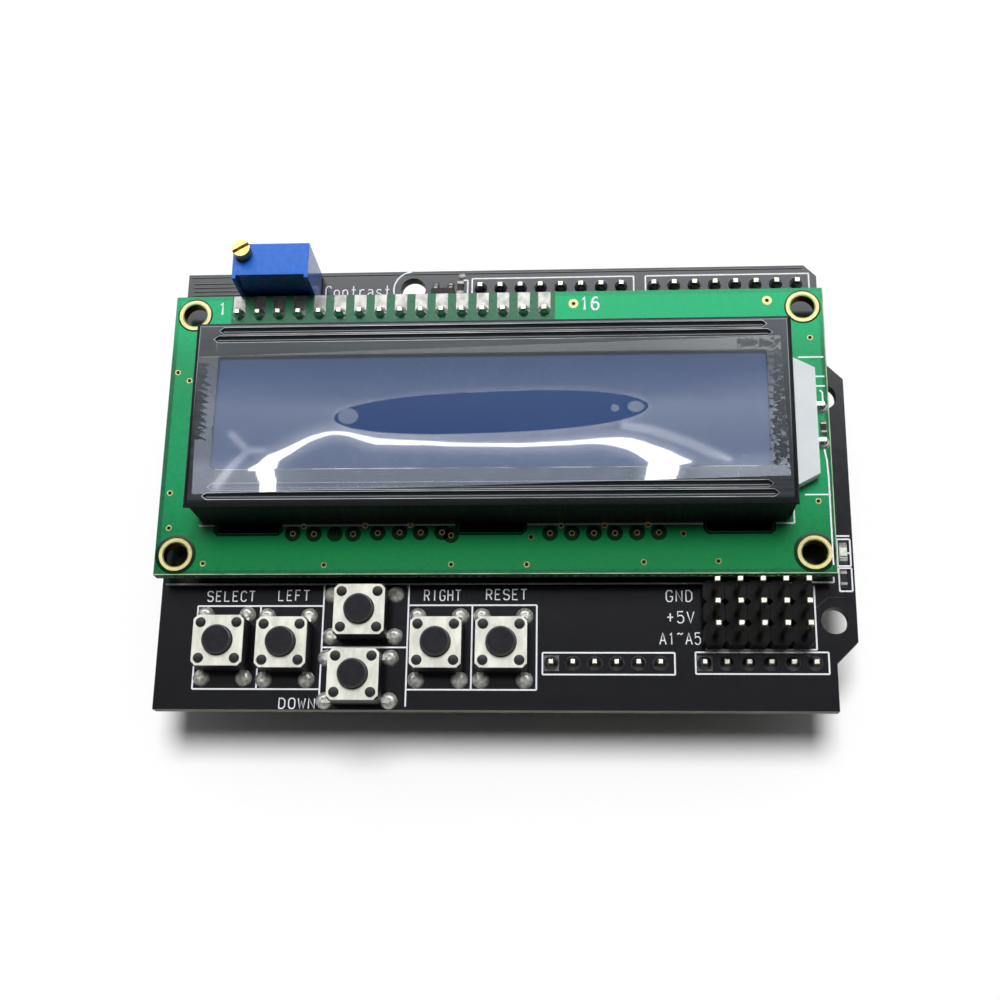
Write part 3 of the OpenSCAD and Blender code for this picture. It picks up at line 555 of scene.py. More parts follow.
# Contrast trimmer. A blue moulded case on three pins at the back edge, grained on top and glossy at
# the sides, its front set back between two ribs; a slotted brass screw in one corner turns.
TRIMMER_ROUND = 0.05
SIDE_ROUGH = 0.15
trimmer_blue = finish("trimmer_blue", (0.01, 0.1, 0.46), (0.018, 0.13, 0.54), (0.3, 0.42), 1500.0,
                      relief=0.014, specular_ior_level=0.34)
tree, shader = opened(trimmer_blue)
tree.links.new(blended(tree, lying(tree, 0.6, 0.8), SIDE_ROUGH, fed(shader["Roughness"])),
               shader["Roughness"])
brass = finish("turned_brass", (0.6, 0.43, 0.15), (0.45, 0.3, 0.09), (0.34, 0.46), 800.0, (1, 1, 4),
               relief=0.004, metallic=1.0)
softened("trimmer_body", TRIMMER_ROUND, trimmer_blue)
softened("trimmer_screw", TRIMMER_ROUND, brass, "trimmer_screw")
dress(tinned, "trimmer_pins")

# Display board. The display maker's own board, in a brighter green mask, carried on the sixteen-pin
# strip; its four corner holes are plated through and ringed with gilding.
LCD_T = 1.6
LCD_MID = (26.03, 30.22)
LCD_HALF = (40.0, 18.0)
CORNER_HOLES = [(x, y) for x in (-11.47, 63.53) for y in (14.72, 45.72)]
HOLE_WALL = (1.499, 1.47)
# Painted light: the display board's green is darker at the front, a painted shade under the bezel, and lighter at
# the back, a painted sheen.
FRONT_SHADE_GREEN, REAR_SHEEN_GREEN = (0.002, 0.167, 0.045, 1), (0.005, 0.38, 0.15, 1)
FRONT_SHADE_MARGIN, REAR_SHEEN_MARGIN = (0.004, 0.105, 0.04, 1), (0.005, 0.3, 0.115, 1)
BARE_GREEN = (0.024, 0.115, 0.06, 1)


def green_pour(tree, colour):
    """Copper in from the edge is a lighter green than the bare margin and pin row. All the green is
    painted darker at the front as the bezel's shade and lighter at the back as a sheen.
    """
    place = put(tree, "ShaderNodeSeparateXYZ", {0: put(tree, "ShaderNodeTexCoord").outputs["Object"]}).outputs
    middle = host(*LCD_MID)
    inside = None
    for axis, centre, half in (("X", middle.x, LCD_HALF[0]), ("Y", middle.y, LCD_HALF[1])):
        off = maths(tree, "ABSOLUTE", maths(tree, "SUBTRACT", place[axis], centre))
        within = spread(tree, off, (half - 0.62) * MM, (half - 0.5) * MM, 1.0, 0.0)
        inside = within if inside is None else maths(tree, "MULTIPLY", inside, within)
    rear = spread(tree, place["Y"], host(0, 38).y, host(0, 46).y, smooth=True)
    front = spread(tree, place["Y"], host(0, 15).y, host(0, 24).y, smooth=True)
    colour = mixed(tree, front, FRONT_SHADE_GREEN, mixed(tree, rear, colour, REAR_SHEEN_GREEN))
    along = maths(tree, "ABSOLUTE", maths(tree, "SUBTRACT", place["X"], host(13.27, 0).x))
    bare = maths(tree, "MULTIPLY", spread(tree, along, 20.14 * MM, 20.24 * MM, 1.0, 0.0),
                 spread(tree, place["Y"], host(0, 44.2).y, host(0, 44.4).y))
    margin = mixed(tree, rear, FRONT_SHADE_MARGIN, REAR_SHEEN_MARGIN)
    return mixed(tree, bare, mixed(tree, inside, margin, colour), BARE_GREEN)


green_mask = coated_laminate(
    "green_mask", (0.006, 0.25, 0.09), (0.008, 0.265, 0.098), (0.012, 0.075, 0.03), (0.05, 0.12, 0.05),
    (0.24, 0.34), green_pour, specular_ior_level=0.25)
gilding = finish("gilding", (0.64, 0.55, 0.3), (0.58, 0.48, 0.24), (0.55, 0.65), 500.0, relief=0.004,
                 metallic=1.0)
plating = finish("hole_plating", (0.34, 0.22, 0.06), (0.2, 0.13, 0.04), (0.35, 0.5), 900.0, relief=0.004,
                 metallic=1.0)
dress(green_mask, "lcd_board")
dress(gilding, "lcd_hole_rings")
dress(header_plastic, "lcd_header_strip")
dress(header_pin, "lcd_header_pins")
outer, inner = HOLE_WALL
sleeve = [(outer, -LCD_T), (outer, 0.0), (inner, 0.0), (inner, -LCD_T)]
bm = bmesh.new()
for x, y in CORNER_HOLES:
    turned(bm, sleeve, host(x, y, LCD_Z), steps=48, closed=True)
add_piece("hole_plating", bm, [plating])

# Pads and vias of the display board. Long tinned pads run from each pin to the back edge, and
# small gilded vias stand along the front, each in a dark ring where the copper is cleared.
PAD_HALF = 0.75
PAD_BACK = 48.2
LEAD_STEP = 2.25
VIA_BORE = 0.24
VIA_OUTER, WIDE_OUTER = 0.36, 0.62
CLEARING = 0.95
HOLE_CLEARING = (2.45, 2.2, 1.9)
RINGED = [(2.47, 17.23), (5.0, 17.18), (9.68, 17.16), (12.61, 17.27), (15.2, 17.32), (17.71, 17.31),
          (20.25, 17.32), (21.32, 16.95), (32.96, 17.17), (35.53, 17.16), (38.1, 17.15), (40.55, 17.14),
          (43.11, 17.18), (45.66, 17.2)]
CLEARED_ALONE = [(7.5, 17.17)]
PLAIN = [(3.74, 18.15), (11.1, 18.2), (16.45, 18.25), (34.25, 18.1), (39.35, 18.1), (44.4, 18.15),
         (30.74, 16.7), (48.51, 17.03), (30.26, 13.37), (43.85, 13.62), (52.44, 13.71), (-8.09, 13.61),
         (6.38, 13.38), (21.41, 13.41), (-12.55, 18.01), (-12.78, 22.4), (-13.06, 38.04), (-11.54, 36.94),
         (64.22, 20.91), (64.24, 41.62)]
WIDE = [(35.72, 46.58), (59.3, 46.63)]
bright_tin = finish("bright_tin", (0.33, 0.33, 0.32), (0.2, 0.2, 0.19), (0.4, 0.52), 1100.0, relief=0.006,
                    metallic=1.0)
solder = finish("bright_solder", (0.62, 0.63, 0.64), (0.42, 0.43, 0.44), (0.28, 0.42), 1400.0, relief=0.012,
                metallic=1.0)
cleared = finish("cleared_mask", (0.001, 0.018, 0.007), (0.0015, 0.026, 0.01), (0.2, 0.3), 300.0,
                 relief=0.001, specular_ior_level=0.15)
via_shade = finish("via_bore_shade", (0.004, 0.004, 0.003), (0.012, 0.01, 0.006), (0.5, 0.7), 1500.0,
                  specular_ior_level=0.1)
# Pale cut glass: the frays along the board's front side, and a painted highlight on its upper edges.
cut_glass_and_highlight = finish("cut_glass_and_highlight", (0.5, 0.62, 0.4), (0.2, 0.36, 0.2), (0.4, 0.6), 900.0, (0.4, 0.4, 1),
                   relief=0.01)
bm = bmesh.new()
for x, y in display_row:
    verts = block(bm, host(x - PAD_HALF, y - PAD_HALF, LCD_Z), host(x + PAD_HALF, PAD_BACK, LCD_Z + 0.04))
    corners = [e for e in bm.edges if all(v in verts for v in e.verts)
               and abs(e.verts[0].co.z - e.verts[1].co.z) > 0.01 * MM and e.verts[0].co.y < host(0, y).y]
    bmesh.ops.bevel(bm, geom=corners, offset=0.6 * MM, offset_type="OFFSET", affect="EDGES", segments=4,
                    profile=0.5, material=-1)
add_piece("display_pads", bm, [bright_tin])
dress(tinned, "backlight_leads")
lead_low, lead_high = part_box("backlight_leads")
lead_x = (lead_high.x - GRID.x) / MM - 0.125
lead_y = ((lead_low.y + lead_high.y) / 2 - GRID.y) / MM
bm = bmesh.new()
for x, y in display_row:
    joint(bm, x, y, LCD_Z + 0.02, 1, 0.92)
for side in (-1, 1):
    joint(bm, lead_x, lead_y + side * LEAD_STEP, LCD_Z, 1, 0.85, 0.6)
add_piece("display_joints", bm, [solder], stands_for=("lcd_solder",), crease=60.0)
bm = bmesh.new()
for x, y in RINGED + CLEARED_ALONE:
    turned(bm, [(CLEARING, 0.0), (CLEARING - 0.01, 0.006), (0.0, 0.006)], host(x, y, LCD_Z), steps=24)
front_wide, rear_wide, inner = HOLE_CLEARING
for x, y in CORNER_HOLES:
    wide = front_wide if y < LCD_MID[1] else rear_wide
    turned(bm, [(wide, 0.0), (wide - 0.02, 0.008), (inner, 0.008)], host(x, y, LCD_Z), steps=48)
add_piece("via_clearings", bm, [cleared])
slot_rims = [[(x - 4.05, 18.48), (x - 4.05, 17.55), (x - 3.6, 17.1), (x + 3.6, 17.1), (x + 4.05, 17.55),
              (x + 4.05, 18.48)] for x in (LCD_MID[0] - 29, LCD_MID[0], LCD_MID[0] + 29)]
flat_lines("slot_rims", slot_rims, 0.32, 0.012, LCD_Z, cleared)
# A pale line on the display board's upper front and right edges: the cut edge painted pale as a highlight.
display_rim_highlight = [((-13.9, 12.28), (65.97, 12.28)), ((65.97, 12.28), (65.97, 48.16))]
flat_lines("display_rim_highlight", display_rim_highlight, 0.13, 0.025, LCD_Z, cut_glass_and_highlight)
frays = [((-13.6 + 1.12 * i, 12.2), (-12.95 + 1.12 * i + 0.25 * math.sin(7 * i), 12.2)) for i in range(71)]
flat_lines("display_frays", frays, 0.1, 0.05, LCD_Z - 0.75, cut_glass_and_highlight)
bm = bmesh.new()
for x, y in RINGED + PLAIN + WIDE:
    outer = WIDE_OUTER if (x, y) in WIDE else VIA_OUTER
    ring = [(outer, 0.006), (outer - 0.02, 0.03), (VIA_BORE, 0.03), (VIA_BORE - 0.01, 0.01)]
    turned(bm, ring, host(x, y, LCD_Z), steps=18)
add_piece("via_rings", bm, [gilding])
# Dark discs over the vias' bores: painted shade standing for the dark of the open holes.
bm = bmesh.new()
for x, y in RINGED + PLAIN + WIDE:
    turned(bm, [(VIA_BORE, 0.012), (0.0, 0.012)], host(x, y, LCD_Z), steps=12)
add_piece("via_bore_shades", bm, [via_shade])

# Printed marks of the display board. White screen ink: the bezel's outline, a few short rules by
# the backlight's ear, and the numbers of the first and the last pin.
NUMBER_W = 0.32
marks = [((x0, 18.25), (x1, 18.25)) for x0, x1 in ((-8.9, -6.95), (1.2, 21.8), (30.3, 50.8), (59.2, 61.35))]
marks += [((61.35, 18.25), (61.35, 41.7))]
marks += [((62.7, y), (65.7, y)) for y in (21.7, 35.32, 36.55, 39.07)]
marks += [((65.05, 34.8), (65.35, 34.5), (65.35, 33.3)),
          ((65.2, 27.5), (65.45, 26.0), (65.55, 24.0), (65.55, 13.2))]
flat_lines("display_marks", marks, INK_W, INK_UP, LCD_Z, ink)
numbers = lettered("1", (-8.5, 45.75), (-7.7, 47.35)) + lettered("16", (36.6, 45.75), (38.85, 47.4))
flat_lines("pin_numbers", numbers, NUMBER_W, INK_UP, LCD_Z, ink)

# Backlight and contacts. A white moulded light block lies on the display board, striped rubber
# strips carry the signals up to the glass, and epoxy drops seal the chips below the board.
rubber = finish("contact_rubber", (0.45, 0.38, 0.36), (0.3, 0.25, 0.24), (0.6, 0.8), 2000.0, (1, 1, 6))
epoxy = finish("black_epoxy", (0.008, 0.008, 0.008), (0.016, 0.016, 0.016), (0.12, 0.25), 250.0, relief=0.05)
diffuser = finish("white_diffuser", (0.58, 0.62, 0.64), (0.62, 0.655, 0.675), (0.3, 0.45), 300.0,
                  relief=0.006)
dress(rubber, "upper_rubber_strip", "lower_rubber_strip")
dress(epoxy, "controller_blobs")
dress(diffuser, "backlight_block")

# Display glass. Two glass plates with a blue polarizer on the upper one, dark blue with the
# light off, held down under the bezel's beads.
blue_glass = finish("blue_display", (0.018, 0.052, 0.16), (0.02, 0.056, 0.172), (0.05, 0.09), 120.0,
                    relief=0.0, specular_ior_level=0.2)
dress(blue_glass, "lcd_glass")

# Bezel. Thin steel folded into an open box and painted satin black, with two stiffening beads along
# each long side; its tabs pass through the board and are folded over below. Thin light lines on the
# beads' and the window's edges are painted highlights, and the rounded edges are painted a lighter
# grey as a highlight, black where they face sideways.
BEZEL_ROUND = 0.09
BEZEL_TOP = 11.44
GLINT_UP = 0.008
FOLD_BLACK = (0.003, 0.003, 0.0035, 1)
SIDE_BLACK = (0.004, 0.004, 0.005, 1)
FOLD_ROUGH = 0.75
BEADS = ((19.65, 32.7), (20.73, 32.1), (39.17, 32.7), (40.25, 32.1))
BEAD_HALF = 0.44
bezel_paint = finish("bezel_paint", (0.003, 0.0035, 0.005), (0.006, 0.0065, 0.008), (0.16, 0.26), 260.0,
                     (0.07, 1, 1), relief=0.003, specular_tint=(0.82, 0.93, 1.0, 1))
tree, shader = opened(bezel_paint)
face = lying(tree, 0.9, 0.99)
tree.links.new(blended(tree, face, FOLD_ROUGH, fed(shader["Roughness"])), shader["Roughness"])
tree.links.new(mixed(tree, face, FOLD_BLACK, fed(shader["Base Color"])), shader["Base Color"])
# Lighter grey on the rounded edges is a painted highlight; the edges that face sideways stay black.
bezel_edge_highlight = finish("bezel_edge_highlight", (0.14, 0.142, 0.15), (0.05, 0.051, 0.055), (0.35, 0.5), 900.0,
                    (0.12, 1, 1), relief=0.004, metallic=0.5)
tree, shader = opened(bezel_edge_highlight)
facing = put(tree, "ShaderNodeSeparateXYZ", {0: put(tree, "ShaderNodeNewGeometry").outputs["Normal"]}).outputs
sideways = spread(tree, maths(tree, "ABSOLUTE", facing["X"]), 0.25, 0.45)
tree.links.new(mixed(tree, sideways, fed(shader["Base Color"]), SIDE_BLACK), shader["Base Color"])
bezel_side = finish("bezel_side", (0.003, 0.003, 0.0035), (0.006, 0.006, 0.007), (0.45, 0.6), 260.0,
                    (1, 1, 0.1), relief=0.003, specular_ior_level=0.12)
# A light dashed line on the window's front edge: a painted glint.
painted_glint = finish("painted_glint", (0.75, 0.76, 0.78), (0.05, 0.052, 0.056), (0.3, 0.45), 260.0, relief=0.002)
# Light outlines round the beads: painted highlights.
bead_edge = finish("bead_edge", (0.85, 0.86, 0.88), (0.25, 0.255, 0.265), (0.3, 0.45), 200.0, (0.3, 1, 1),
                   relief=0.002)
bezel = softened("lcd_bezel", BEZEL_ROUND, bezel_paint, edge=bezel_edge_highlight)
bezel.data.materials.append(bezel_side)
for polygon in bezel.data.polygons:
    if abs(polygon.normal.z) < 0.35 or abs(polygon.normal.x) > 0.25:
        polygon.material_index = 2
# The painted glint along the window's front edge.
flat_lines("window_glint", [((-5.5, 22.82), (57.6, 22.82))], 0.1, GLINT_UP, BEZEL_TOP, painted_glint)
# Painted highlights outline each bead.
outlines = []
for y, half in BEADS:
    tip, shoulder = half + 0.15, half - 0.4
    turns = ((-tip, 0), (-shoulder, -BEAD_HALF), (shoulder, -BEAD_HALF), (tip, 0),
             (shoulder, BEAD_HALF), (-shoulder, BEAD_HALF), (-tip, 0))
    outlines.append([(LCD_MID[0] + x, y + up) for x, up in turns])
flat_lines("bead_edges", outlines, 0.07, GLINT_UP, BEZEL_TOP, bead_edge)

# Protective film. A clear sheet left on the screen, lying on the bezel's frame and sagging on to
# the glass in a long lens, where it wets the surface and turns clear; elsewhere it is hazy, and its
# creases lean back far enough to mirror the light behind, which the lean attribute holds.
FILM_MID = (25.9, 29.3)
FILM_SIZE = (68.2, 17.1)
FILM_TURN = 1.5
FILM_Z = 11.46
GLASS_Z = 10.79
WINDOW = (26.03, 29.95, 32.1, 7.1)
LENS = (26.19, 29.85, 18.25, 2.58)
LENS_TILT = 0.03
LENS_POWER = 2.55
BUBBLES = ((9.62, 29.5, 1.22, 1.02), (43.0, 30.36, 0.98, 0.72), (40.61, 30.2, 0.52, 0.46))
BUBBLE_UP = 0.05
FOLDS = (
    ((0.85, 20.2, 0.8), (0.8, 21.4, 0.76), (0.5, 22.2, 0.85), (0.25, 22.85, 0.8), (0.5, 23.4, 0.75),
     (0.95, 24.0, 0.62), (1.55, 24.42, 0.45), (2.45, 24.92, 0.34), (3.35, 25.45, 0.26), (4.26, 25.99, 0.2),
     (5.16, 26.53, 0.15), (6.08, 26.89, 0.11), (7.0, 27.19, 0.08), (7.93, 27.37, 0.05), (8.86, 27.36, 0.05),
     (9.8, 27.23, 0.07), (10.7, 26.95, 0.11), (11.8, 26.6, 0.18), (13.1, 26.28, 0.22), (15.9, 26.13, 0.16),
     (18.7, 26.04, 0.11), (21.5, 25.85, 0.07), (24.2, 25.76, 0.05), (29.7, 25.66, 0.06), (35.2, 25.85, 0.08),
     (37.9, 26.04, 0.12), (39.5, 26.05, 0.23), (41.0, 25.9, 0.42), (42.3, 25.65, 0.55), (43.6, 25.1, 0.72),
     (44.7, 24.4, 0.85), (45.6, 23.8, 1.1), (46.0, 23.1, 1.5), (45.95, 22.6, 1.6), (45.75, 21.9, 1.5),
     (45.5, 21.0, 1.45)),
    ((0.9, 23.5, 0.75), (-1.45, 22.8, 0.0)),
    ((44.6, 24.6, 0.8), (46.4, 23.75, 0.95), (49.0, 23.4, 0.0)),
)
FOLD_SOFT, FOLD_LEAN = 0.21, 0.155
GLOW_SOFT, GLOW_LEAN = 1.1, 0.035
FAINT_FOLDS = (
    ((41.8, 27.9, 0.2), (44.6, 27.35, 0.25), (48.9, 25.75, 0.25), (51.6, 24.5, 0.2), (53.4, 23.7, 0.0)),
    ((-3.9, 27.25, 0.05), (-1.9, 25.2, 0.1), (-0.1, 25.2, 0.1)),
    ((-1.9, 25.2, 0.1), (-3.5, 23.3, 0.15), (-5.1, 21.0, 0.2)),
)
FAINT_SOFT, FAINT_LEAN = 0.45, 0.035
CORNER_LEAN = 0.026
TOP_DROOP, TOP_EASE = 0.055, 0.024
RIM_LEAN = 0.03


def lens_reach(x, y):
    """Below 1 where the film lies on the glass: a long lens, blunt at both ends."""
    across = min(1.0, abs(x - LENS[0]) / LENS[2])
    half = LENS[3] * math.sqrt(1 - across ** LENS_POWER)
    return abs(y - LENS[1] - LENS_TILT * (x - LENS[0])) / max(half, 0.001)


def fold_share(x, y, fold, soft):
    """1 on a fold along (x, y, half width) points, falling off over the soft width beside it."""
    best = 0.0
    for (x0, y0, w0), (x1, y1, w1) in zip(fold, fold[1:]):
        dx, dy = x1 - x0, y1 - y0
        t = max(0.0, min(1.0, ((x - x0) * dx + (y - y0) * dy) / (dx * dx + dy * dy)))
        off = max(0.0, math.hypot(x - x0 - t * dx, y - y0 - t * dy) - w0 - t * (w1 - w0)) / soft
        best = max(best, math.exp(-off * off))
    return best


def rising(value, low, high):
    """0 below low, 1 above high, with a smooth rise between."""
    share = max(0.0, min(1.0, (value - low) / (high - low)))
    return share * share * (3 - 2 * share)


def leaning_back(x, y):
    """How far the film's face leans back at a place off the lens."""
    aside = abs(x - WINDOW[0])
    back = CORNER_LEAN * rising(aside, 18, 27) * rising(-y, -25.5, -22.5)
    back -= (TOP_DROOP - TOP_EASE * rising(aside, 16, 30)) * rising(y, 30.0, 34.5)
    back += RIM_LEAN * rising(y, 36.7, 37.1)
    back += FAINT_LEAN * max(fold_share(x, y, fold, FAINT_SOFT) for fold in FAINT_FOLDS)
    for fold in FOLDS:
        glow = max(FOLD_LEAN * fold_share(x, y, fold, FOLD_SOFT),
                   GLOW_LEAN * fold_share(x, y, fold, GLOW_SOFT))
        if glow > 0.001:
            back = max(back, glow)
    return back


bm = bmesh.new()
bmesh.ops.create_grid(bm, x_segments=290, y_segments=160, size=0.5)
bmesh.ops.scale(bm, vec=(*FILM_SIZE, 1), verts=bm.verts)
turn = Matrix.Rotation(math.radians(FILM_TURN), 3, "Z")
bmesh.ops.rotate(bm, cent=(0, 0, 0), matrix=turn, verts=bm.verts)
bmesh.ops.translate(bm, vec=(*FILM_MID, FILM_Z), verts=bm.verts)
free = []
for v in bm.verts:
    if lens_reach(v.co.x, v.co.y) < 1:
        v.co.z = GLASS_Z
    elif abs(v.co.x - WINDOW[0]) < WINDOW[2] and abs(v.co.y - WINDOW[1]) < WINDOW[3]:
        free.append(v)
        v.co.z = (FILM_Z + GLASS_Z) / 2
for _ in range(500):
    bmesh.ops.smooth_vert(bm, verts=free, factor=0.5, use_axis_z=True)
lean = bm.verts.layers.float_vector.new("lean")
for v in bm.verts:
    x, y = v.co.x, v.co.y
    for bx, by, wide, deep in BUBBLES:
        off = math.hypot((x - bx) / wide, (y - by) / deep)
        if off < 1:
            v.co.z += BUBBLE_UP * (1 - off * off)
    v[lean] = (0, leaning_back(x, y) if lens_reach(x, y) > 1 else 0.0, 1)
for _ in range(3):
    bmesh.ops.smooth_vert(bm, verts=bm.verts, factor=0.5, use_axis_z=True)
bmesh.ops.scale(bm, vec=(MM, MM, MM), verts=bm.verts)
bmesh.ops.translate(bm, vec=GRID, verts=bm.verts)

clear_film = finish("clear_film", (0.385, 0.48, 0.7), (0.415, 0.51, 0.73), (0.08, 0.12), 60.0, relief=0.0,
                    ior=4.0)
# Grey painted along the window's top: a painted reflection and shade of the bezel's inner wall.
TOP_REFLECTION_GREY = (0.34, 0.36, 0.34, 1)
WET_ALPHA = 0.02
# Extra haze round the lens's edge: a painted highlight.
HALO_HIGHLIGHT_ALPHA = 0.09
MARGIN_ALPHA = 0.05
TOP_REFLECTION_ALPHA = 0.06
tree, shader = opened(clear_film)
leaning = put(tree, "ShaderNodeAttribute", attribute_name="lean").outputs["Vector"]
tree.links.new(put(tree, "ShaderNodeVectorMath", {0: leaning}, operation="NORMALIZE").outputs[0],
               shader["Normal"])
on_film = put(tree, "ShaderNodeTexCoord").outputs["Object"]
spot = put(tree, "ShaderNodeSeparateXYZ", {0: on_film}).outputs


def film_maths(operation, a, b=0.0):
    return maths(tree, operation, a, b)


def off_line(axis, centre, half):
    """Distance from a centre line along one axis, as a share of the half width."""
    return film_maths("DIVIDE", film_maths("ABSOLUTE", film_maths("SUBTRACT", spot[axis], centre)), half)


def up_film(y0, y1, low=0.0, high=1.0, smooth=False):
    """A value that goes from low at y0 to high at y1, up the film."""
    return spread(tree, spot["Y"], host(0, y0).y, host(0, y1).y, low, high, smooth)


# The lens is clear but for its bubbles, with a pale painted highlight round its edge.
lens_at = host(LENS[0], LENS[1])
along = off_line("X", lens_at.x, LENS[2] * MM)
squared = film_maths("MAXIMUM", 0.0, film_maths("SUBTRACT", 1.0, film_maths("POWER", along, LENS_POWER)))
taper = film_maths("SQRT", squared)
rise = film_maths("MULTIPLY", LENS_TILT, film_maths("SUBTRACT", spot["X"], lens_at.x))
aside = off_line("Y", film_maths("ADD", lens_at.y, rise), LENS[3] * MM)
beyond = film_maths("MULTIPLY", 7.0, film_maths("MAXIMUM", 0.0, film_maths("SUBTRACT", along, 1.0)))
depth = film_maths("SUBTRACT", film_maths("SUBTRACT", taper, aside), beyond)
wet = spread(tree, depth, 0.0, 0.03)
halo_highlight = film_maths("MULTIPLY", spread(tree, depth, -0.3, -0.04, smooth=True),
                  spread(tree, depth, -0.03, 0.0, 1.0, 0.0))
for x, y, wide, deep in BUBBLES:
    at = host(x, y)
    across, up = off_line("X", at.x, wide * MM), off_line("Y", at.y, deep * MM)
    off = film_maths("ADD", film_maths("MULTIPLY", across, across), film_maths("MULTIPLY", up, up))
    wet = film_maths("MULTIPLY", wet, spread(tree, off, 0.85, 1.0))

# Where the film's ends have stuck to the paint they are clear too, in ragged and toothed patches.
ragged = spread(tree, put(tree, "ShaderNodeTexNoise", {
    "Vector": put(tree, "ShaderNodeMapping", {"Vector": on_film, "Scale": (0.9, 1.2, 0.0)}).outputs[0],
    "Scale": 1500.0, "Detail": 3.0, "Roughness": 0.7,
}).outputs[0], 0.36, 0.64)
slant = film_maths("ADD", film_maths("MULTIPLY", spot["Y"], 2600.0), film_maths("MULTIPLY", spot["X"], 500.0))
teeth = film_maths("PINGPONG", film_maths("ADD", slant, ragged), 1.0)
toothed = blended(tree, 0.55, ragged, teeth)
for edge, x0, y0, x1, y1, end_x, end_y, full in (
    (toothed, -9.9, 25.9, -6.3, 36.7, 1, 6, 0.42), (ragged, 57.8, 22.0, 61.0, 38.2, 1.5, 6, 0.3),
    (ragged, 54.4, 37.0, 60.6, 38.7, 5, 1.5, 0.3),
):
    low, high = host(x0, y0), host(x1, y1)
    across = film_maths("POWER", off_line("X", (low.x + high.x) / 2, (high.x - low.x) / 2), end_x)
    up = film_maths("POWER", off_line("Y", (low.y + high.y) / 2, (high.y - low.y) / 2), end_y)
    inside = spread(tree, film_maths("MAXIMUM", across, up), 0.1, 1.0, full, -0.55)
    patch = spread(tree, film_maths("ADD", edge, inside), 0.5, 0.56)
    wet = film_maths("MAXIMUM", wet, patch)

# The haze is thinner towards the window's top and thicker over the bezel. Along the top it is
# thicker and turns grey: a painted reflection and shade of the bezel's inner wall.
veil = film_maths("SUBTRACT", up_film(21, 32, 0.3, 0.24), up_film(32, 37.5, 0.0, 0.15, smooth=True))
window_at = host(*WINDOW[:2])
margin = film_maths("MAXIMUM", spread(tree, off_line("X", window_at.x, WINDOW[2] * MM), 1.0, 1.01),
                    spread(tree, off_line("Y", window_at.y, WINDOW[3] * MM), 1.0, 1.02))
near_top_reflection = up_film(34.4, 36.9, smooth=True)
veil = film_maths("ADD", veil, film_maths("ADD", film_maths("MULTIPLY", margin, MARGIN_ALPHA),
                                          film_maths("MULTIPLY", near_top_reflection, TOP_REFLECTION_ALPHA)))
tree.links.new(mixed(tree, film_maths("MULTIPLY", near_top_reflection, 0.8), fed(shader["Base Color"]), TOP_REFLECTION_GREY),
               shader["Base Color"])
haze = film_maths("ADD", veil, film_maths("MULTIPLY", halo_highlight, HALO_HIGHLIGHT_ALPHA))
tree.links.new(blended(tree, wet, haze, WET_ALPHA), shader["Alpha"])
film = add_piece("screen_film_sagged", bm, [clear_film], stands_for=("screen_film",),
                 closed=False)

# Floor. A wide plain pale sheet that the pins' ends stand on, matt so that it keeps the
# board's soft shadow and shows no mirror image.
FLOOR_HALF = 6.0
floor_paint = finish("floor_paint", (0.965, 0.965, 0.965), (0.975, 0.975, 0.975), (0.8, 0.9), 4.0, relief=0.0)
bm = bmesh.new()
bmesh.ops.create_grid(bm, x_segments=1, y_segments=1, size=FLOOR_HALF)
bmesh.ops.translate(bm, vec=(0, 0, cad_box[0][2] - 0.02 * MM), verts=bm.verts)
floor_mesh = bpy.data.meshes.new("floor")
bm.to_mesh(floor_mesh)
bm.free()
floor_mesh.materials.append(floor_paint)
floor = bpy.data.objects.new("floor", floor_mesh)
bpy.context.scene.collection.objects.link(floor)

# Studio light. A wide soft lamp nearly overhead and a little behind, and surroundings that show
# the gloss a bright panel at the back with a soft upper end, and a dark front.
KEY_AT = Vector((0.02, 0.29, 1.0))
KEY_ENERGY = 3.0
KEY_WIDTH = 24
PANEL_STEPS = ((0.33, 0.4, 1.6), (0.4, 0.46, 3.5), (0.46, 0.6, 7.5))
key_light = bpy.data.lights.new("key", "SUN")
key_light.energy = KEY_ENERGY
key_light.angle = math.radians(KEY_WIDTH)
key_lamp = bpy.data.objects.new("key", key_light)
key_lamp.location = KEY_AT
key_lamp.rotation_euler = (-KEY_AT).to_track_quat("-Z", "Y").to_euler()
key_lamp.visible_glossy = False
bpy.context.scene.collection.objects.link(key_lamp)
world = bpy.data.worlds.new("surroundings")
bpy.context.scene.world = world
world.use_nodes = True
tree = world.node_tree
sky = put(tree, "ShaderNodeSeparateXYZ", {0: put(tree, "ShaderNodeTexCoord").outputs["Generated"]}).outputs
rays = put(tree, "ShaderNodeLightPath").outputs
off_middle = maths(tree, "ABSOLUTE", sky["X"])
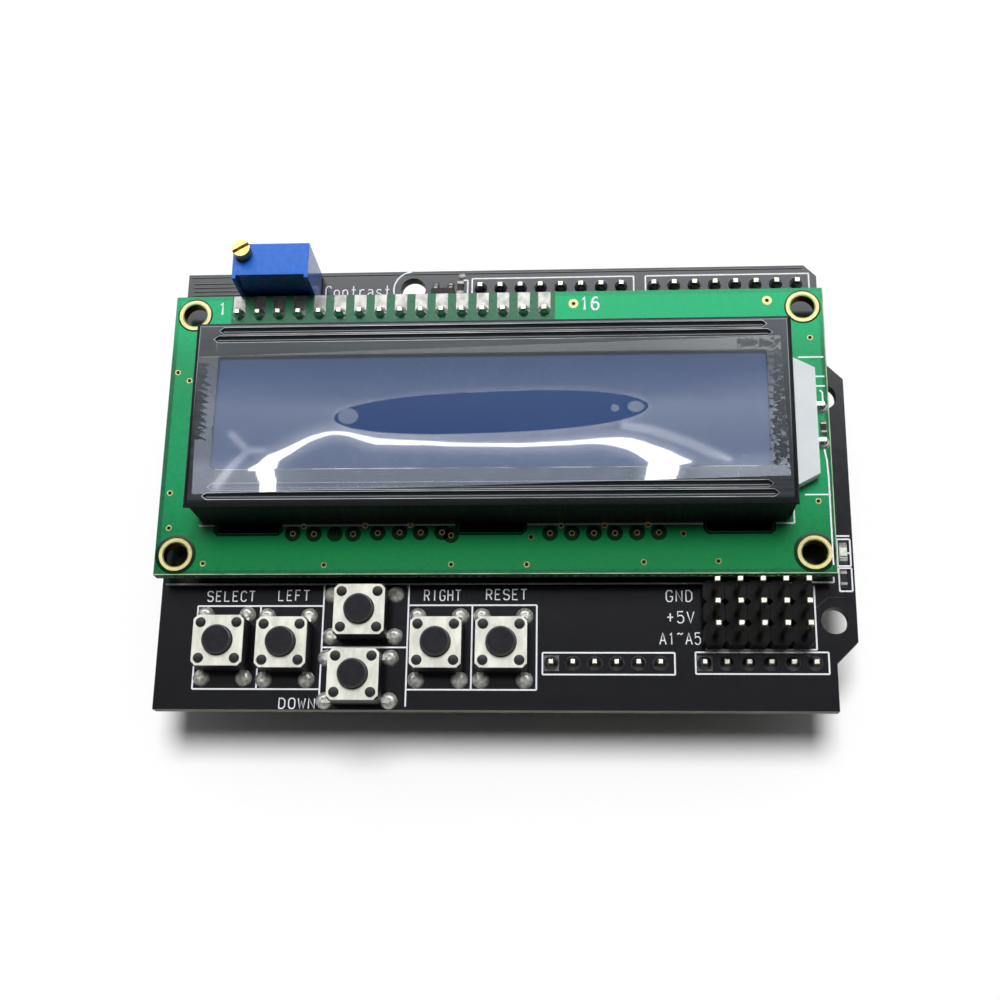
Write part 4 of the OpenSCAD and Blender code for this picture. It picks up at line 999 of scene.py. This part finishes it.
soft = maths(tree, "ADD", spread(tree, sky["Y"], -0.3, 0.8, 0.0, 0.4), spread(tree, sky["X"], 0.3, 1.0, 0.0, 0.12))
panel = 0.0
for low, high, step in PANEL_STEPS:
    panel = maths(tree, "ADD", panel, spread(tree, sky["Y"], low, high, 0.0, step))
ends = maths(tree, "MULTIPLY", spread(tree, sky["Y"], 0.62, 0.72, 1.0, 0.0),
             spread(tree, off_middle, 0.45, 0.7, 1.0, 0.0))
mirrored = maths(tree, "ADD", spread(tree, sky["Y"], -0.7, 0.3, 0.12, 0.38), maths(tree, "MULTIPLY", panel, ends))
skyline = maths(tree, "MULTIPLY", spread(tree, maths(tree, "ABSOLUTE", sky["Z"]), 0.1, 0.16, 1.0, 0.0),
                spread(tree, off_middle, 0.5, 0.8, 1.0, 0.12))
mirrored = maths(tree, "MAXIMUM", mirrored, skyline)
glow = blended(tree, maths(tree, "MAXIMUM", rays["Is Glossy Ray"], rays["Is Transmission Ray"]), soft, mirrored)
glow = blended(tree, rays["Is Camera Ray"], glow, 1.0)
tree.nodes["Background"].inputs["Color"].default_value = (1, 1, 1, 1)
tree.links.new(glow, tree.nodes["Background"].inputs["Strength"])

# Camera. Above and in front of the board, a little to its right, as the photograph looks down; its
# place and directions are those fitted to the centres of the boards' holes.
CAMERA_AT = Vector((11.415, -56.80, 180.44)) * MM
CAMERA_RIGHT = Vector((0.9977, 0.0146, -0.0656))
CAMERA_LOOK = Vector((-0.0669, 0.3027, -0.9507)).normalized()
camera_up = CAMERA_RIGHT.cross(CAMERA_LOOK).normalized()
camera_right = CAMERA_LOOK.cross(camera_up).normalized()
lens = bpy.data.cameras.new("camera")
lens.lens = 53.2
lens.sensor_width = 36.0
lens.clip_start = 0.01
camera = bpy.data.objects.new("camera", lens)
facing = Matrix((camera_right, camera_up, -CAMERA_LOOK)).transposed().to_4x4()
camera.matrix_world = Matrix.Translation(CAMERA_AT) @ facing
bpy.context.scene.collection.objects.link(camera)
bpy.context.scene.camera = camera
bpy.context.scene.view_settings.view_transform = "Standard"
